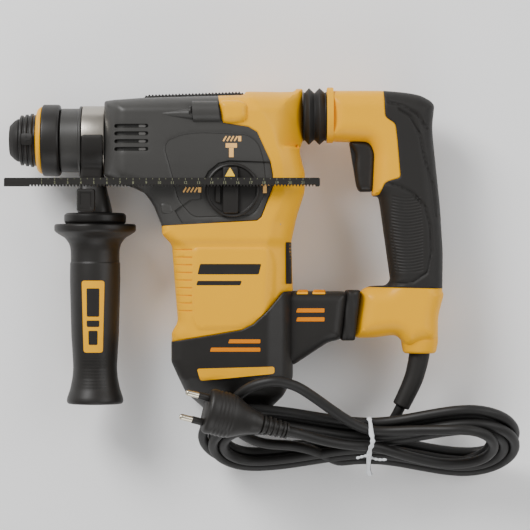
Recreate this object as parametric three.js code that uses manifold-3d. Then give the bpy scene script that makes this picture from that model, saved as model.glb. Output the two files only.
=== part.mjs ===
// Corded three-mode rotary hammer with a D-handle on a damped pivot, a side handle and a depth rod.
// Units are millimetres. The tool lies on its right side on the bench: X runs from the nose (-X) to
// the rear handle (+X), Y runs up the tool, and Z points up from the bench.
// Y = 0 is the bit axis and X = 0 the motor axis; z = 0 in the tool group is the housing's split plane.

import * as THREE from 'three';
import { mergeVertices } from 'three/addons/utils/BufferGeometryUtils.js';
import Module from 'manifold-3d';

const wasm = await Module();
wasm.setup();

// ---- driving dimensions ----------------------------------------------------------------------

const GAP = 0.3;                    // clearance between faces that touch or run on each other
const BODY_HALF = 41;               // half width of the gear and motor housings
const WALL = 3.2;                   // wall of every moulded shell
const EDGE = 3;                     // chamfer along the housings' side edges

const NECK_R = 25;                  // clamping neck that the side handle grips
const NECK_FRONT = -134.2;
const NECK_WALL = 4;
const NECK_BORE_R = NECK_R - NECK_WALL;
const BOX_FRONT = -99;              // front face of the gear box

const SPINDLE_R = 15;               // spindle in its bearing
const CYLINDER_R = 16.5;            // rear of the spindle, the hammer's cylinder
const CYLINDER_BORE_R = 14;
const TOOL_BORE_R = 5.3;            // bore for a 10 mm bit shank
const NOSE_R = 10;                  // spindle nose inside the chuck
const SPINDLE_FRONT = -168;
const SPINDLE_REAR = -4;
const CYLINDER_FRONT = -92;
const CHAMBER_FRONT = -118;
const CHAMBER_R = 9.2;

const SLEEVE_TRAVEL = 6;            // pull of the locking sleeve
const COLLAR_R = 28.1;
const COLLAR_FRONT = -148.1;

const GEAR_MODULE = 1;
const PINION_TEETH = 9;
const CRANK_TEETH = 36;
const WHEEL_TEETH = 40;
const GEAR_LEVEL = [-52, -44];      // height of the gear train along the motor axis
const BEVEL_MODULE = 1.6;
const BEVEL_PINION_TEETH = 12;
const BEVEL_GEAR_TEETH = 30;
const CRANK_THROW = 11;
const ROD_LENGTH = 43.5;            // crank pin to piston pin
const DISC_TOP = -9;

const MOTOR_SHAFT_R = 5;
const CORE_R = 23;                  // armature core
const AIR_GAP = 0.6;
const STATOR_R = 33;
const CORE_LEVEL = [-140, -90];
const BEARING_R = 12;
const PLATE_LEVEL = [-67, -60];     // bearing plate between motor and gears

const HANDLE_HALF = 19;
const GRIP_SKIN = 2.6;              // rubber over the handle's core
const TRIGGER_HALF = 8;
const TRIGGER_TRAVEL = 6.5;
const PIVOT = [92.6, -136.3];       // pin that the rear handle swings on
const PIVOT_PIN_R = 3;
const TUBE_AXIS = 18.8;             // axis of the bellows between housing and handle

const DIAL = [0.7, -40];            // mode dial axis
const DIAL_R = 20.9;
const DIAL_HUB_R = 8;
const DIAL_THICK = 1.8;
const DIAL_BAR = 2.2;               // grip bar above the dial
const DIAL_PIN_THROW = 5;           // eccentric pin that moves the shift fork

const SIDE_AXIS = -107.5;           // side handle axis
const CLAMP_HALF = 10.2;            // half length of the side clamp along the bit axis
const BAND_THICK = 1.6;
const SIDE_GRIP_END = -206.8;
const DISC_LEVEL = [-65.6, -57.5];  // fixed disc above the turning grip
const BOLT_R = 4;

const DEPTH_ROD_X = [-173.8, 67.9];
const DEPTH_ROD_HEIGHT = 6.9;
const DEPTH_ROD_THICK = 6;
const DEPTH_ROD_Y = -34.4;

const CORD_R = 4;
const HANK_LEAN = THREE.MathUtils.degToRad(55);   // the hank leans on the foot of the motor housing
const HANK_END_R = 44;
const HANK_WAIST = 26;
const HANK_X = [17, 186];           // centres of the hank's round ends
const HANK_Y = -236;
const TIE_X = 108;

const DEPTH_ROD_Z = BODY_HALF + GAP + DIAL_THICK + DIAL_BAR + 1 + DEPTH_ROD_THICK / 2;

// Side outline of the gear, motor and base housings in one loop, each point [x, y].
const BODY_OUTLINE = [
  [BOX_FRONT, -29], [BOX_FRONT, 29.6], [-70.6, 31.7], [9.4, 34.2], [11, 37], [48.5, 37.8],
  [50.5, 40.4], [55.5, 40.4], [55.7, 0], [52.4, -9.6], [56.8, -25.8], [56.8, -40.7], [50.4, -60.9],
  [46.3, -79.8], [47.6, -117], [47.6, -185.3], [40, -200], [28, -212], [-20, -212],
  [-35.5, -196.8], [-46.5, -172.4], [-46.5, -150], [-41.6, -141.9], [-43.6, -117.6],
  [-46.3, -81.9], [-53.7, -74.3], [-53.7, -67.7], [-60.4, -51.5], [-67.2, -42], [-76.7, -37.3],
];
// Front view of the same housings: half widths up the tool, each point [y, half width].
const WIDTH_PROFILE = [
  [-212, BODY_HALF - 27], [-197, BODY_HALF - 9], [-185, BODY_HALF], [22, BODY_HALF],
  [31, BODY_HALF - 5], [37.8, BODY_HALF - 14], [44, BODY_HALF - 24],
];
// Where the dark gear housing ends and the motor shells begin; it runs outside the outline in front.
const NOSE_REGION = [
  [-10.4, 60], [-10.4, 33.7], [-6.4, 11.8], [13.2, 8.6], [19.9, 4.6], [30.1, -17.7], [32.1, -27.8],
  [32.1, -38], [23.3, -60.9], [19.9, -63.7], [-53.7, -67.7], [-70, -67.9], [-160, -67.9], [-160, 60],
];
// Where the dark base shells begin below the motor shells.
const BASE_REGION = [
  [60, -116.8], [40.3, -118.5], [28.1, -133.3], [17.3, -143.3], [7.9, -148], [-12.6, -151.6],
  [-45.6, -156.9], [-70, -160], [-70, -230], [60, -230],
];
const ARM_OUTLINE = [
  [40, -118.2], [90.3, -118.5], [85.6, -155.6], [75.4, -157.6], [47.6, -175.9], [40, -175.9],
];
const ARM_HALF = 21;
// Side outline of the rear handle: tube, hand grip and lower bar.
const HANDLE_OUTLINE = [
  [74, 38.7], [119, 38.7], [137, 37.1], [148, 35], [156.1, 30.3],
  [158.6, 26.9], [156.8, 10.7], [157.5, 0], [162.9, -51.5], [165.2, -88], [164.8, -118],
  [165.9, -121.1], [161.6, -137.4], [161.2, -156.3], [137.2, -162.8], [129.1, -152.2],
  [111.5, -154.6], [94.9, -155], [100.7, -117.8], [107.5, -114.3], [120.9, -113.7],
  [124.3, -109.6], [116.2, -51.5], [114.9, -44], [109.5, -44], [111, -10], [107, -2], [74, -0.5],
];
const HANDLE_FLANGE = [[74, 30], [74, 41.4], [79.6, 41.4], [81.4, 38.7], [81.4, 30]];
const GRIP_REGION = [
  [118.5, 60], [118.5, 36.4], [119.6, 17.4], [127.5, 12.1], [129, 0], [131.5, -29.8],
  [119.6, -33.2], [114.9, -43.4], [100, -44.4], [100, -114.8], [180, -116.4], [180, 60],
];

// ---- finishes --------------------------------------------------------------------------------

const finish = (color, roughness, metalness = 0) =>
  new THREE.MeshStandardMaterial({ color, roughness, metalness });

const YELLOW = finish(0xf9c022, 0.45);
const BLACK = finish(0x2c2b29, 0.55);
const DARK_GREY = finish(0x444442, 0.5);
const RUBBER = finish(0x2f2d2b, 0.85);
const STEEL = finish(0x9a958c, 0.35, 0.9);
const COPPER = finish(0xb0713c, 0.4, 0.8);
const NICKEL = finish(0xc8c3b4, 0.25, 0.95);
const WHITE = finish(0xe3e5e6, 0.5);

// ---- shape helpers ---------------------------------------------------------------------------

// A closed geometry as a solid: vertices merged, flat triangles dropped, faces turned outwards.
function toSolid(geometry) {
  const bare = geometry.clone();
  bare.deleteAttribute('normal');
  bare.deleteAttribute('uv');
  const merged = mergeVertices(bare, 1e-4);
  const position = merged.getAttribute('position').array;
  const index = merged.index.array;
  const triangles = [];
  let volume = 0;
  const a = new THREE.Vector3();
  const b = new THREE.Vector3();
  const c = new THREE.Vector3();
  for (let i = 0; i < index.length; i += 3) {
    const [p, q, r] = [index[i], index[i + 1], index[i + 2]];
    if (p === q || q === r || r === p) continue;
    triangles.push(p, q, r);
    a.fromArray(position, 3 * p);
    b.fromArray(position, 3 * q);
    c.fromArray(position, 3 * r);
    volume += a.dot(b.cross(c));
  }
  if (volume < 0) triangles.reverse();
  return new wasm.Manifold(new wasm.Mesh({
    numProp: 3,
    vertProperties: new Float32Array(position),
    triVerts: new Uint32Array(triangles),
  }));
}

function toGeometry(solid) {
  const mesh = solid.getMesh();
  const geometry = new THREE.BufferGeometry();
  geometry.setAttribute('position', new THREE.BufferAttribute(mesh.vertProperties, 3));
  geometry.setIndex(new THREE.BufferAttribute(mesh.triVerts, 1));
  geometry.computeVertexNormals();
  return geometry;
}

const signedArea = (points) => points.reduce((sum, [x, y], i) => {
  const [nextX, nextY] = points[(i + 1) % points.length];
  return sum + (x * nextY - nextX * y) / 2;
}, 0);

// The outline moved outwards by a distance, or inwards by a negative one, with mitred corners.
function offset(points, distance) {
  const side = Math.sign(signedArea(points));
  const count = points.length;
  const normal = (i) => {
    const [x0, y0] = points[(i + count) % count];
    const [x1, y1] = points[(i + 1) % count];
    const length = Math.hypot(x1 - x0, y1 - y0);
    return [side * (y1 - y0) / length, side * (x0 - x1) / length];
  };
  return points.map(([x, y], i) => {
    const [ax, ay] = normal(i - 1);
    const [bx, by] = normal(i);
    const scale = distance / Math.max(1 + ax * bx + ay * by, 0.4);
    return [x + (ax + bx) * scale, y + (ay + by) * scale];
  });
}

const shapeOf = (points) => new THREE.Shape(points.map(([x, y]) => new THREE.Vector2(x, y)));

// The outline in the XY plane, extruded from z0 to z1, with an optional chamfer on both faces: equal
// rings of the outline stacked up, the end rings drawn in by the chamfer and closed by flat caps.
function prismZ(points, z0, z1, chamfer = 0) {
  const loop = signedArea(points) > 0 ? points : [...points].reverse();
  const drawnIn = offset(loop, -chamfer);
  const rings = chamfer > 0
    ? [[drawnIn, z0], [loop, z0 + chamfer], [loop, z1 - chamfer], [drawnIn, z1]]
    : [[loop, z0], [loop, z1]];
  const count = loop.length;
  const index = [];
  for (let level = 0; level + 1 < rings.length; level += 1) {
    for (let i = 0; i < count; i += 1) {
      const [a, b] = [level * count + i, level * count + (i + 1) % count];
      index.push(a, b, b + count, a, b + count, a + count);
    }
  }
  const lid = THREE.ShapeUtils.triangulateShape(loop.map(([x, y]) => new THREE.Vector2(x, y)), []);
  const last = (rings.length - 1) * count;
  lid.forEach(([a, b, c]) => index.push(c, b, a, a + last, b + last, c + last));
  const geometry = new THREE.BufferGeometry().setFromPoints(
    rings.flatMap(([outline, z]) => outline.map(([x, y]) => new THREE.Vector3(x, y, z))));
  return toSolid(geometry.setIndex(index));
}

// The outline given as [y, z], extruded along X.
function prismX(points, x0, x1) {
  const geometry = new THREE.ExtrudeGeometry(shapeOf(points), { depth: x1 - x0, bevelEnabled: false });
  geometry.applyMatrix4(new THREE.Matrix4().set(0, 0, 1, x0, 1, 0, 0, 0, 0, 1, 0, 0, 0, 0, 0, 1));
  return toSolid(geometry);
}

// The outline given as [x, z], extruded along Y.
function prismY(points, y0, y1) {
  const geometry = new THREE.ExtrudeGeometry(shapeOf(points), { depth: y1 - y0, bevelEnabled: false });
  geometry.applyMatrix4(new THREE.Matrix4().set(1, 0, 0, 0, 0, 0, 1, y0, 0, 1, 0, 0, 0, 0, 0, 1));
  return toSolid(geometry);
}

const box = (x0, x1, y0, y1, z0, z1) => toSolid(
  new THREE.BoxGeometry(x1 - x0, y1 - y0, z1 - z0)
    .translate((x0 + x1) / 2, (y0 + y1) / 2, (z0 + z1) / 2));

// A closed profile of [radius, along] points turned about the Y axis.
function latheGeometry(profile, segments) {
  const closed = profile[0][0] > 0 ? [...profile, profile[0]] : profile;
  return new THREE.LatheGeometry(closed.map(([r, t]) => new THREE.Vector2(r, t)), segments);
}

const turnX = (profile, y = 0, z = 0, segments = 20) =>
  toSolid(latheGeometry(profile, segments).rotateZ(-Math.PI / 2).translate(0, y, z));
const turnY = (profile, x = 0, z = 0, segments = 20) =>
  toSolid(latheGeometry(profile, segments).translate(x, 0, z));
const turnZ = (profile, x = 0, y = 0, segments = 20) =>
  toSolid(latheGeometry(profile, segments).rotateX(Math.PI / 2).translate(x, y, 0));

const rod = (r, t0, t1) => [[0, t0], [r, t0], [r, t1], [0, t1]];
const ring = (inner, outer, t0, t1) => [[inner, t0], [outer, t0], [outer, t1], [inner, t1]];

// A round bar along a smooth curve through the given points.
function tube(points, radius, steps, sides = 8, endRadius = radius) {
  const curve = new THREE.CatmullRomCurve3(points.map((p) => new THREE.Vector3(...p)), false, 'centripetal');
  const section = new THREE.Shape();
  section.absarc(0, 0, radius, 0, 2 * Math.PI);
  const geometry = new THREE.ExtrudeGeometry(section, {
    steps, extrudePath: curve, bevelEnabled: false, curveSegments: sides / 2,
  });
  if (endRadius !== radius) taper(geometry, curve, steps, endRadius / radius);
  return toSolid(geometry);
}

// Draws the tube's rings in towards the curve, evenly from no change to the end scale.
function taper(geometry, curve, steps, endScale) {
  const centres = curve.getSpacedPoints(steps);
  const position = geometry.getAttribute('position');
  const vertex = new THREE.Vector3();
  for (let i = 0; i < position.count; i += 1) {
    vertex.fromBufferAttribute(position, i);
    let nearest = 0;
    centres.forEach((centre, k) => {
      if (centre.distanceTo(vertex) < centres[nearest].distanceTo(vertex)) nearest = k;
    });
    const scale = 1 + (endScale - 1) * nearest / steps;
    vertex.sub(centres[nearest]).multiplyScalar(scale).add(centres[nearest]);
    position.setXYZ(i, vertex.x, vertex.y, vertex.z);
  }
}

// Outline of a straight-flanked gear: each tooth narrows from root to tip about the pitch circle.
function gearOutline(teeth, module, phase) {
  const pitchR = teeth * module / 2;
  const pitchAngle = 2 * Math.PI / teeth;
  const corners = [
    [pitchR - 1.15 * module, -0.3], [pitchR + 0.8 * module, -0.1],
    [pitchR + 0.8 * module, 0.1], [pitchR - 1.15 * module, 0.3],
  ];
  const points = [];
  for (let tooth = 0; tooth < teeth; tooth += 1) {
    for (const [r, share] of corners) {
      const angle = phase + (tooth + share) * pitchAngle;
      points.push([r * Math.cos(angle), r * Math.sin(angle)]);
    }
  }
  return points;
}

const moved = (points, x, y) => points.map(([px, py]) => [px + x, py + y]);
const spurY = (teeth, x, y0, y1, phase) =>
  prismY(moved(gearOutline(teeth, GEAR_MODULE, phase), x, 0), y0, y1);

const tool = new THREE.Group();
tool.position.z = BODY_HALF;

function add(name, solid, material, parent = tool) {
  const mesh = new THREE.Mesh(toGeometry(solid), material);
  mesh.name = name;
  parent.add(mesh);
}

const split = (solid) => ({
  left: solid.subtract(box(-400, 400, -400, 400, -200, GAP / 2)),
  right: solid.subtract(box(-400, 400, -400, 400, -GAP / 2, 200)),
});

// ---- housings --------------------------------------------------------------------------------

const mirrored = (profile) =>
  [...profile.map(([y, half]) => [y, half]), ...profile.map(([y, half]) => [y, -half]).reverse()];

// Sloping cuts that narrow the gear box towards the nose and the upper housing towards the bellows.
function narrowing(inset) {
  const front = [[BOX_FRONT - 5, 28 - inset], [-82 - inset, BODY_HALF + 0.1], [-82, 80], [BOX_FRONT - 5, 80]];
  const rear = [[34 - inset, BODY_HALF + 0.1], [60, 23 - inset], [60, 80], [34, 80]];
  const mirror = (points) => points.map(([x, z]) => [x, -z]);
  return prismY(front, -60, 60).add(prismY(mirror(front), -60, 60))
    .add(prismY(rear, -6 - inset, 60)).add(prismY(mirror(rear), -6 - inset, 60));
}

function bodyEnvelope() {
  return prismZ(BODY_OUTLINE, -BODY_HALF, BODY_HALF, EDGE)
    .intersect(prismX(mirrored(WIDTH_PROFILE), -150, 150))
    .subtract(narrowing(0));
}

function bodyCavity() {
  const inner = prismZ(offset(BODY_OUTLINE, -WALL), WALL - BODY_HALF, BODY_HALF - WALL);
  return inner.intersect(prismX(offset(mirrored(WIDTH_PROFILE), -WALL), -150, 150))
    .subtract(narrowing(WALL));
}

// Long screw ridge on the left cheek, its axis along X.
const screwRidge = (x0, x1) => turnX(rod(8.4, x0, x1), 20.2, BODY_HALF - 4.4, 16)
  .subtract(box(-100, 100, 0, 40, -60, BODY_HALF - 2));

const VENTS_FRONT = { x0: -90, x1: -64, width: 3, rows: [9.3, 3.4, -2.5, -8.4] };

function ventSlots({ x0, x1, width, rows }) {
  return rows.map((y) => box(x0, x1, y - width / 2, y + width / 2, -60, 60))
    .reduce((all, slot) => all.add(slot));
}

function gearHousing(envelope, cavity) {
  const neck = turnX([
    [NECK_R, NECK_FRONT], [NECK_R, -119.3], [NECK_R + 1.9, -119.3], [NECK_R + 1.9, -116.8],
    [NECK_R, -116.8], [NECK_R, BOX_FRONT + 6], [NECK_BORE_R, BOX_FRONT + 6],
    [NECK_BORE_R, NECK_FRONT + WALL], [SPINDLE_R + GAP, NECK_FRONT + WALL], [SPINDLE_R + GAP, NECK_FRONT],
  ], 0, 0, 24);
  return envelope.intersect(prismZ(NOSE_REGION, -80, 80))
    .subtract(cavity)
    .subtract(turnX(rod(NECK_BORE_R + 1, BOX_FRONT - 1, BOX_FRONT + 8)))
    .add(neck)
    .add(screwRidge(-30, 0).intersect(prismZ(NOSE_REGION, -80, 80)))
    .subtract(ventSlots(VENTS_FRONT))
    .subtract(turnZ(rod(DIAL_HUB_R + GAP, 10, 80), ...DIAL));
}

const SHELL_SCREWS = [[44, 24], [38, -104], [-37.6, -108], [36, -176]];
const SCREW_R = 2;

const screwPosts = () => SHELL_SCREWS.map(([x, y]) =>
  turnZ(rod(SCREW_R + 2.4, WALL / 2 - BODY_HALF, BODY_HALF - WALL / 2), x, y, 12))
  .reduce((all, post) => all.add(post));

const screwHoles = () => SHELL_SCREWS.map(([x, y]) =>
  turnZ([[0, -20], [SCREW_R + GAP, -20], [SCREW_R + GAP, 24], [SCREW_R + 2, 24], [SCREW_R + 2, 80], [0, 80]],
    x, y, 12)).reduce((all, hole) => all.add(hole));

function mainShells(envelope, cavity) {
  const region = prismZ(offset(NOSE_REGION, GAP), -80, 80).add(prismZ(offset(BASE_REGION, GAP), -80, 80));
  const posts = screwPosts().intersect(envelope).subtract(region);
  return envelope.subtract(region).subtract(cavity)
    .add(screwRidge(-5.5, 12.6).subtract(region))
    .add(posts)
    .subtract(screwHoles());
}

const VENTS_BASE = [
  { x0: -2.4, x1: 22.3, width: 3, rows: [-156.5] },
  { x0: -16.5, x1: 22.3, width: 3, rows: [-162.8] },
];
const VENTS_ARM = { x0: 52, x1: 71, width: 3.4, rows: [-133, -139.9] };

function baseShells(envelope, cavity) {
  const region = prismZ(BASE_REGION, -80, 80);
  const armCavity = prismZ(offset(ARM_OUTLINE, -WALL), WALL - ARM_HALF, ARM_HALF - WALL)
    .add(box(36, 52, -160, -125, WALL - ARM_HALF, ARM_HALF - WALL));
  const ear = box(80, PIVOT[0] + 5, PIVOT[1] - 6, PIVOT[1] + 6, 8, 13);
  const tongueSlot = box(84, 110, PIVOT[1] - 6.8, PIVOT[1] + 6.8, -8, 8);
  const web = box(-42, 45, -172, -164, -39, 39).intersect(envelope)
    .subtract(turnY(rod(BEARING_R + GAP, -180, -160)));
  const slots = [...VENTS_BASE, VENTS_ARM].map(ventSlots).reduce((all, slot) => all.add(slot));
  return envelope.intersect(region)
    .add(prismZ(ARM_OUTLINE, -ARM_HALF, ARM_HALF, EDGE))
    .subtract(cavity).subtract(armCavity).subtract(tongueSlot)
    .add(web)
    .add(ear).add(ear.mirror([0, 0, 1]))
    .add(screwPosts().intersect(envelope).intersect(region))
    .subtract(turnZ(rod(PIVOT_PIN_R + GAP, -10, 10).map(([r, t]) => [r, t * 2]), ...PIVOT, 16))
    .subtract(slots)
    .subtract(screwHoles());
}

function housings() {
  const envelope = bodyEnvelope();
  const cavity = bodyCavity();
  const main = split(mainShells(envelope, cavity));
  const base = split(baseShells(envelope, cavity));
  add('gear_housing', gearHousing(envelope, cavity), DARK_GREY);
  add('main_shell_left', main.left, YELLOW);
  add('main_shell_right', main.right, YELLOW);
  add('base_shell_left', base.left, BLACK);
  add('base_shell_right', base.right, BLACK);
  const strip = [[-69.2, 31.8 + GAP], [-69.2, 34.4], [9.2, 36.8], [9.2, 34.2 + GAP]];
  add('top_strip', prismZ(strip, -15, 15, 0.8), RUBBER);
  SHELL_SCREWS.forEach(([x, y], i) => {
    const profile = [[0, 2 - 20], [SCREW_R, 2 - 20], [SCREW_R, 24 + GAP], [3.6, 24 + GAP], [3.6, 28], [0, 28]];
    add(`shell_screw_${i + 1}`, turnZ(profile, x, y, 12), STEEL);
  });
}

// ---- motor -----------------------------------------------------------------------------------

function motor() {
  const bore = MOTOR_SHAFT_R + GAP;
  const pinion = spurY(PINION_TEETH, 0, GEAR_LEVEL[0] - 1.5, GEAR_LEVEL[1] + 1.5, 0);
  const shaft = turnY([
    [0, -176], [MOTOR_SHAFT_R, -176], [MOTOR_SHAFT_R, -58], [3.1, -58], [3.1, GEAR_LEVEL[1] + 1], [0, GEAR_LEVEL[1] + 1],
  ], 0, 0, 20).add(pinion);
  add('armature_shaft', shaft, STEEL);
  add('armature_core', turnY(ring(bore, CORE_R, ...CORE_LEVEL)), STEEL);
  add('commutator', turnY(ring(bore, BEARING_R, -158, -146)), COPPER);
  add('cooling_fan', coolingFan(bore), BLACK);
  const stator = turnY(ring(CORE_R + AIR_GAP, STATOR_R, CORE_LEVEL[0] - 3, CORE_LEVEL[1] + 2), 0, 0, 24);
  add('stator', stator, STEEL);
  add('bearing_upper', turnY(ring(bore, BEARING_R, -69, -61)), STEEL);
  add('bearing_lower', turnY(ring(bore, BEARING_R, -171.5, -164.5)), STEEL);
  const brushZ = BEARING_R + GAP;
  add('brush_holder_left', box(-5, 5, -157, -147, brushZ, BODY_HALF - WALL - 2), COPPER);
  add('brush_holder_right', box(-5, 5, -157, -147, WALL + 2 - BODY_HALF, -brushZ), COPPER);
}

function coolingFan(bore) {
  const blades = 9;
  let fan = turnY([[bore, -83], [30, -83], [30, -81.4], [9, -81.4], [9, -75], [bore, -75]]);
  for (let i = 0; i < blades; i += 1) {
    const blade = box(8, 29.5, -82, -75.5, -0.8, 0.8).rotate([0, 360 * i / blades, 0]);
    fan = fan.add(blade);
  }
  return fan;
}

// ---- gear train and hammer -------------------------------------------------------------------

const CRANK_X = GEAR_MODULE * (PINION_TEETH + CRANK_TEETH) / 2;
const WHEEL_X = -GEAR_MODULE * (PINION_TEETH + WHEEL_TEETH) / 2;
const STUB_R = 4;

function gearPlate() {
  const half = BODY_HALF - WALL - 0.4;
  const octagon = [[-48.6, -20], [-48.6, 20], [-40, half], [38, half], [43, half - 6], [43, 6 - half],
    [38, -half], [-40, -half]];
  return prismY(octagon, ...PLATE_LEVEL)
    .subtract(turnY(rod(BEARING_R + GAP, -80, -50)))
    .subtract(turnY(rod(STUB_R + GAP, -80, -50), CRANK_X))
    .subtract(turnY(rod(STUB_R + GAP, -80, -50), WHEEL_X));
}

// Bevel pinion below its apex: the gear outline shrinks in proportion to the distance from the apex.
function bevelPinion() {
  const distance = BEVEL_MODULE * BEVEL_GEAR_TEETH / 2;
  const face = 7;
  const phase = 0;
  const outline = gearOutline(BEVEL_PINION_TEETH, BEVEL_MODULE, phase);
  const shape = shapeOf(outline);
  const geometry = new THREE.ExtrudeGeometry(shape, { depth: face, bevelEnabled: false });
  const position = geometry.getAttribute('position');
  for (let i = 0; i < position.count; i += 1) {
    const [x, y, t] = [position.getX(i), position.getY(i), position.getZ(i)];
    const scale = 1 - t / distance;
    position.setXYZ(i, WHEEL_X + x * scale, t - distance, y * scale);
  }
  return toSolid(geometry);
}

// Bevel ring on the spindle: a coned disc with ridges that all run towards the apex.
function bevelRing() {
  const pitchR = BEVEL_MODULE * BEVEL_GEAR_TEETH / 2;
  const apexDistance = BEVEL_MODULE * BEVEL_PINION_TEETH / 2;
  const inner = 18 / pitchR;
  const root = apexDistance + 1.15 * BEVEL_MODULE;
  const tip = apexDistance - 0.8 * BEVEL_MODULE;
  const back = WHEEL_X - root - 4;
  let gear = turnX([
    [CYLINDER_R + GAP, back], [pitchR + 1, back], [pitchR + 1, WHEEL_X - root * (pitchR + 1) / pitchR],
    [pitchR * inner, WHEEL_X - root * inner], [CYLINDER_R + GAP, WHEEL_X - root * inner],
  ], 0, 0, 30);
  for (let tooth = 0; tooth < BEVEL_GEAR_TEETH; tooth += 1) {
    const degrees = 360 * (tooth + 0.5) / BEVEL_GEAR_TEETH;
    gear = gear.add(bevelTooth(pitchR, inner, root + 0.5, tip).rotate([degrees, 0, 0]));
  }
  return gear;
}

// One ridge pointing down -Y: its sections at both radii are the same trapezoid, scaled to the apex.
function bevelTooth(pitchR, inner, root, tip) {
  const pitch = 2 * Math.PI * pitchR / BEVEL_GEAR_TEETH;
  const section = [[root, -0.3 * pitch], [root, 0.3 * pitch], [tip, 0.1 * pitch], [tip, -0.1 * pitch]];
  const corners = [inner, 1].flatMap((scale) => section.map(([depth, side]) =>
    new THREE.Vector3(WHEEL_X - depth * scale, -pitchR * scale, side * scale)));
  const quads = [[0, 1, 2, 3], [7, 6, 5, 4], [0, 4, 5, 1], [1, 5, 6, 2], [2, 6, 7, 3], [3, 7, 4, 0]];
  const geometry = new THREE.BufferGeometry().setFromPoints(corners);
  geometry.setIndex(quads.flatMap(([a, b, c, d]) => [a, b, c, a, c, d]));
  return toSolid(geometry);
}

function gearTrain() {
  add('gear_plate', gearPlate(), STEEL);
  const crank = turnY([
    [0, -65], [STUB_R, -65], [STUB_R, -58], [6, -58], [6, DISC_TOP - 7], [CRANK_THROW + 6, DISC_TOP - 7],
    [CRANK_THROW + 6, DISC_TOP], [0, DISC_TOP],
  ], CRANK_X).add(spurY(CRANK_TEETH, CRANK_X, ...GEAR_LEVEL, Math.PI / CRANK_TEETH));
  add('crank_gear', crank, STEEL);
  const bevel = turnY([
    [0, -65], [STUB_R, -65], [STUB_R, -58], [6, -58], [6, -20], [0, -20],
  ], WHEEL_X).add(spurY(WHEEL_TEETH, WHEEL_X, ...GEAR_LEVEL, 0)).add(bevelPinion());
  add('bevel_shaft', bevel, STEEL);
}

function hammer() {
  add('spindle', turnX([
    [NOSE_R, SPINDLE_FRONT], [NOSE_R, -136], [SPINDLE_R, -136], [SPINDLE_R, -98], [CYLINDER_R, -98],
    [CYLINDER_R, SPINDLE_REAR], [CYLINDER_BORE_R, SPINDLE_REAR], [CYLINDER_BORE_R, CYLINDER_FRONT],
    [CHAMBER_R, CYLINDER_FRONT], [CHAMBER_R, CHAMBER_FRONT], [TOOL_BORE_R, CHAMBER_FRONT],
    [TOOL_BORE_R, SPINDLE_FRONT],
  ]), STEEL);
  add('spindle_gear', bevelRing(), STEEL);
  add('spindle_bearing', turnX(ring(SPINDLE_R + GAP, NECK_BORE_R - GAP, -114, -103)), STEEL);
  const wristX = CRANK_X - CRANK_THROW - ROD_LENGTH;
  const pistonR = CYLINDER_BORE_R - GAP;
  const piston = turnX([
    [0, wristX - 20], [pistonR, wristX - 20], [pistonR, wristX + 6], [pistonR - 3.4, wristX + 6],
    [pistonR - 3.4, wristX - 9], [0, wristX - 9],
  ]).subtract(turnY(rod(3 + GAP, -20, 20), wristX, 0, 16));
  add('piston', piston, STEEL);
  add('piston_pin', turnY(rod(3, 1 - pistonR, pistonR - 1), wristX, 0, 16), STEEL);
  const crankPinX = CRANK_X - CRANK_THROW;
  const web = box(wristX + 4, crankPinX - 5, -3, 3, -4, 4);
  const connectingRod = turnY(rod(6.4, -4, 4), wristX, 0, 20).add(web)
    .add(turnY(rod(8, -4, 4), crankPinX, 0, 20))
    .add(turnY(rod(4, DISC_TOP + 0.5, 0), crankPinX, 0, 16))
    .subtract(turnY(rod(3 + GAP, -20, 20), wristX, 0, 16));
  add('connecting_rod', connectingRod, STEEL);
  add('ram', turnX([[0, -84], [8, -84], [pistonR, -80], [pistonR, -62], [0, -62]]), STEEL);
  add('beat_piece', turnX([
    [0, -128], [TOOL_BORE_R - GAP, -128], [TOOL_BORE_R - GAP, -113.5], [CHAMBER_R - GAP, -113.5],
    [CHAMBER_R - GAP, -99], [5, -99], [5, -90], [0, -90],
  ]), STEEL);
}

// ---- chuck -----------------------------------------------------------------------------------

function chuck() {
  const front = SPINDLE_FRONT;
  add('dust_cap', turnX([
    [TOOL_BORE_R + 0.4, front - 6.7], [12, front - 6.7], [14.6, front - 5], [16.4, front - 2.4], [16.9, front],
    [16.9, front + 1.5], [NOSE_R + GAP, front + 1.5], [NOSE_R + GAP, front - GAP], [TOOL_BORE_R + 0.4, front - GAP],
  ]), RUBBER);
  const ribs = [];
  const ribPitch = 4.4;
  for (let i = 0; i < 3; i += 1) {
    const x = -166.2 + i * ribPitch;
    const r = 18.9 + i * 0.8;
    ribs.push([r, x], [r + 0.8, x + 2.6], [r - 0.4, x + 3.2], [r - 0.4, x + ribPitch - 0.8]);
  }
  const bore = NOSE_R + 0.4;
  add('locking_sleeve', turnX([[bore, -166.2], ...ribs, [20.6, -153.4], [bore, -153.4]]), RUBBER);
  add('sleeve_ring', turnX([
    [bore, -153.1], [21.3, -153.1], [24.6, -152], [26.4, -149.8], [26.4, -148.4], [bore, -148.4],
  ]), YELLOW);
  const recess = COLLAR_FRONT + SLEEVE_TRAVEL + 0.6;
  add('chuck_collar', turnX([
    [26.4 + 0.4, COLLAR_FRONT], [COLLAR_R, COLLAR_FRONT], [COLLAR_R, NECK_FRONT - 2], [COLLAR_R - 1.6, NECK_FRONT - GAP],
    [SPINDLE_R + 0.4, NECK_FRONT - GAP], [SPINDLE_R + 0.4, recess], [26.4 + 0.4, recess],
  ]), BLACK);
}

// ---- mode selector ---------------------------------------------------------------------------

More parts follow.
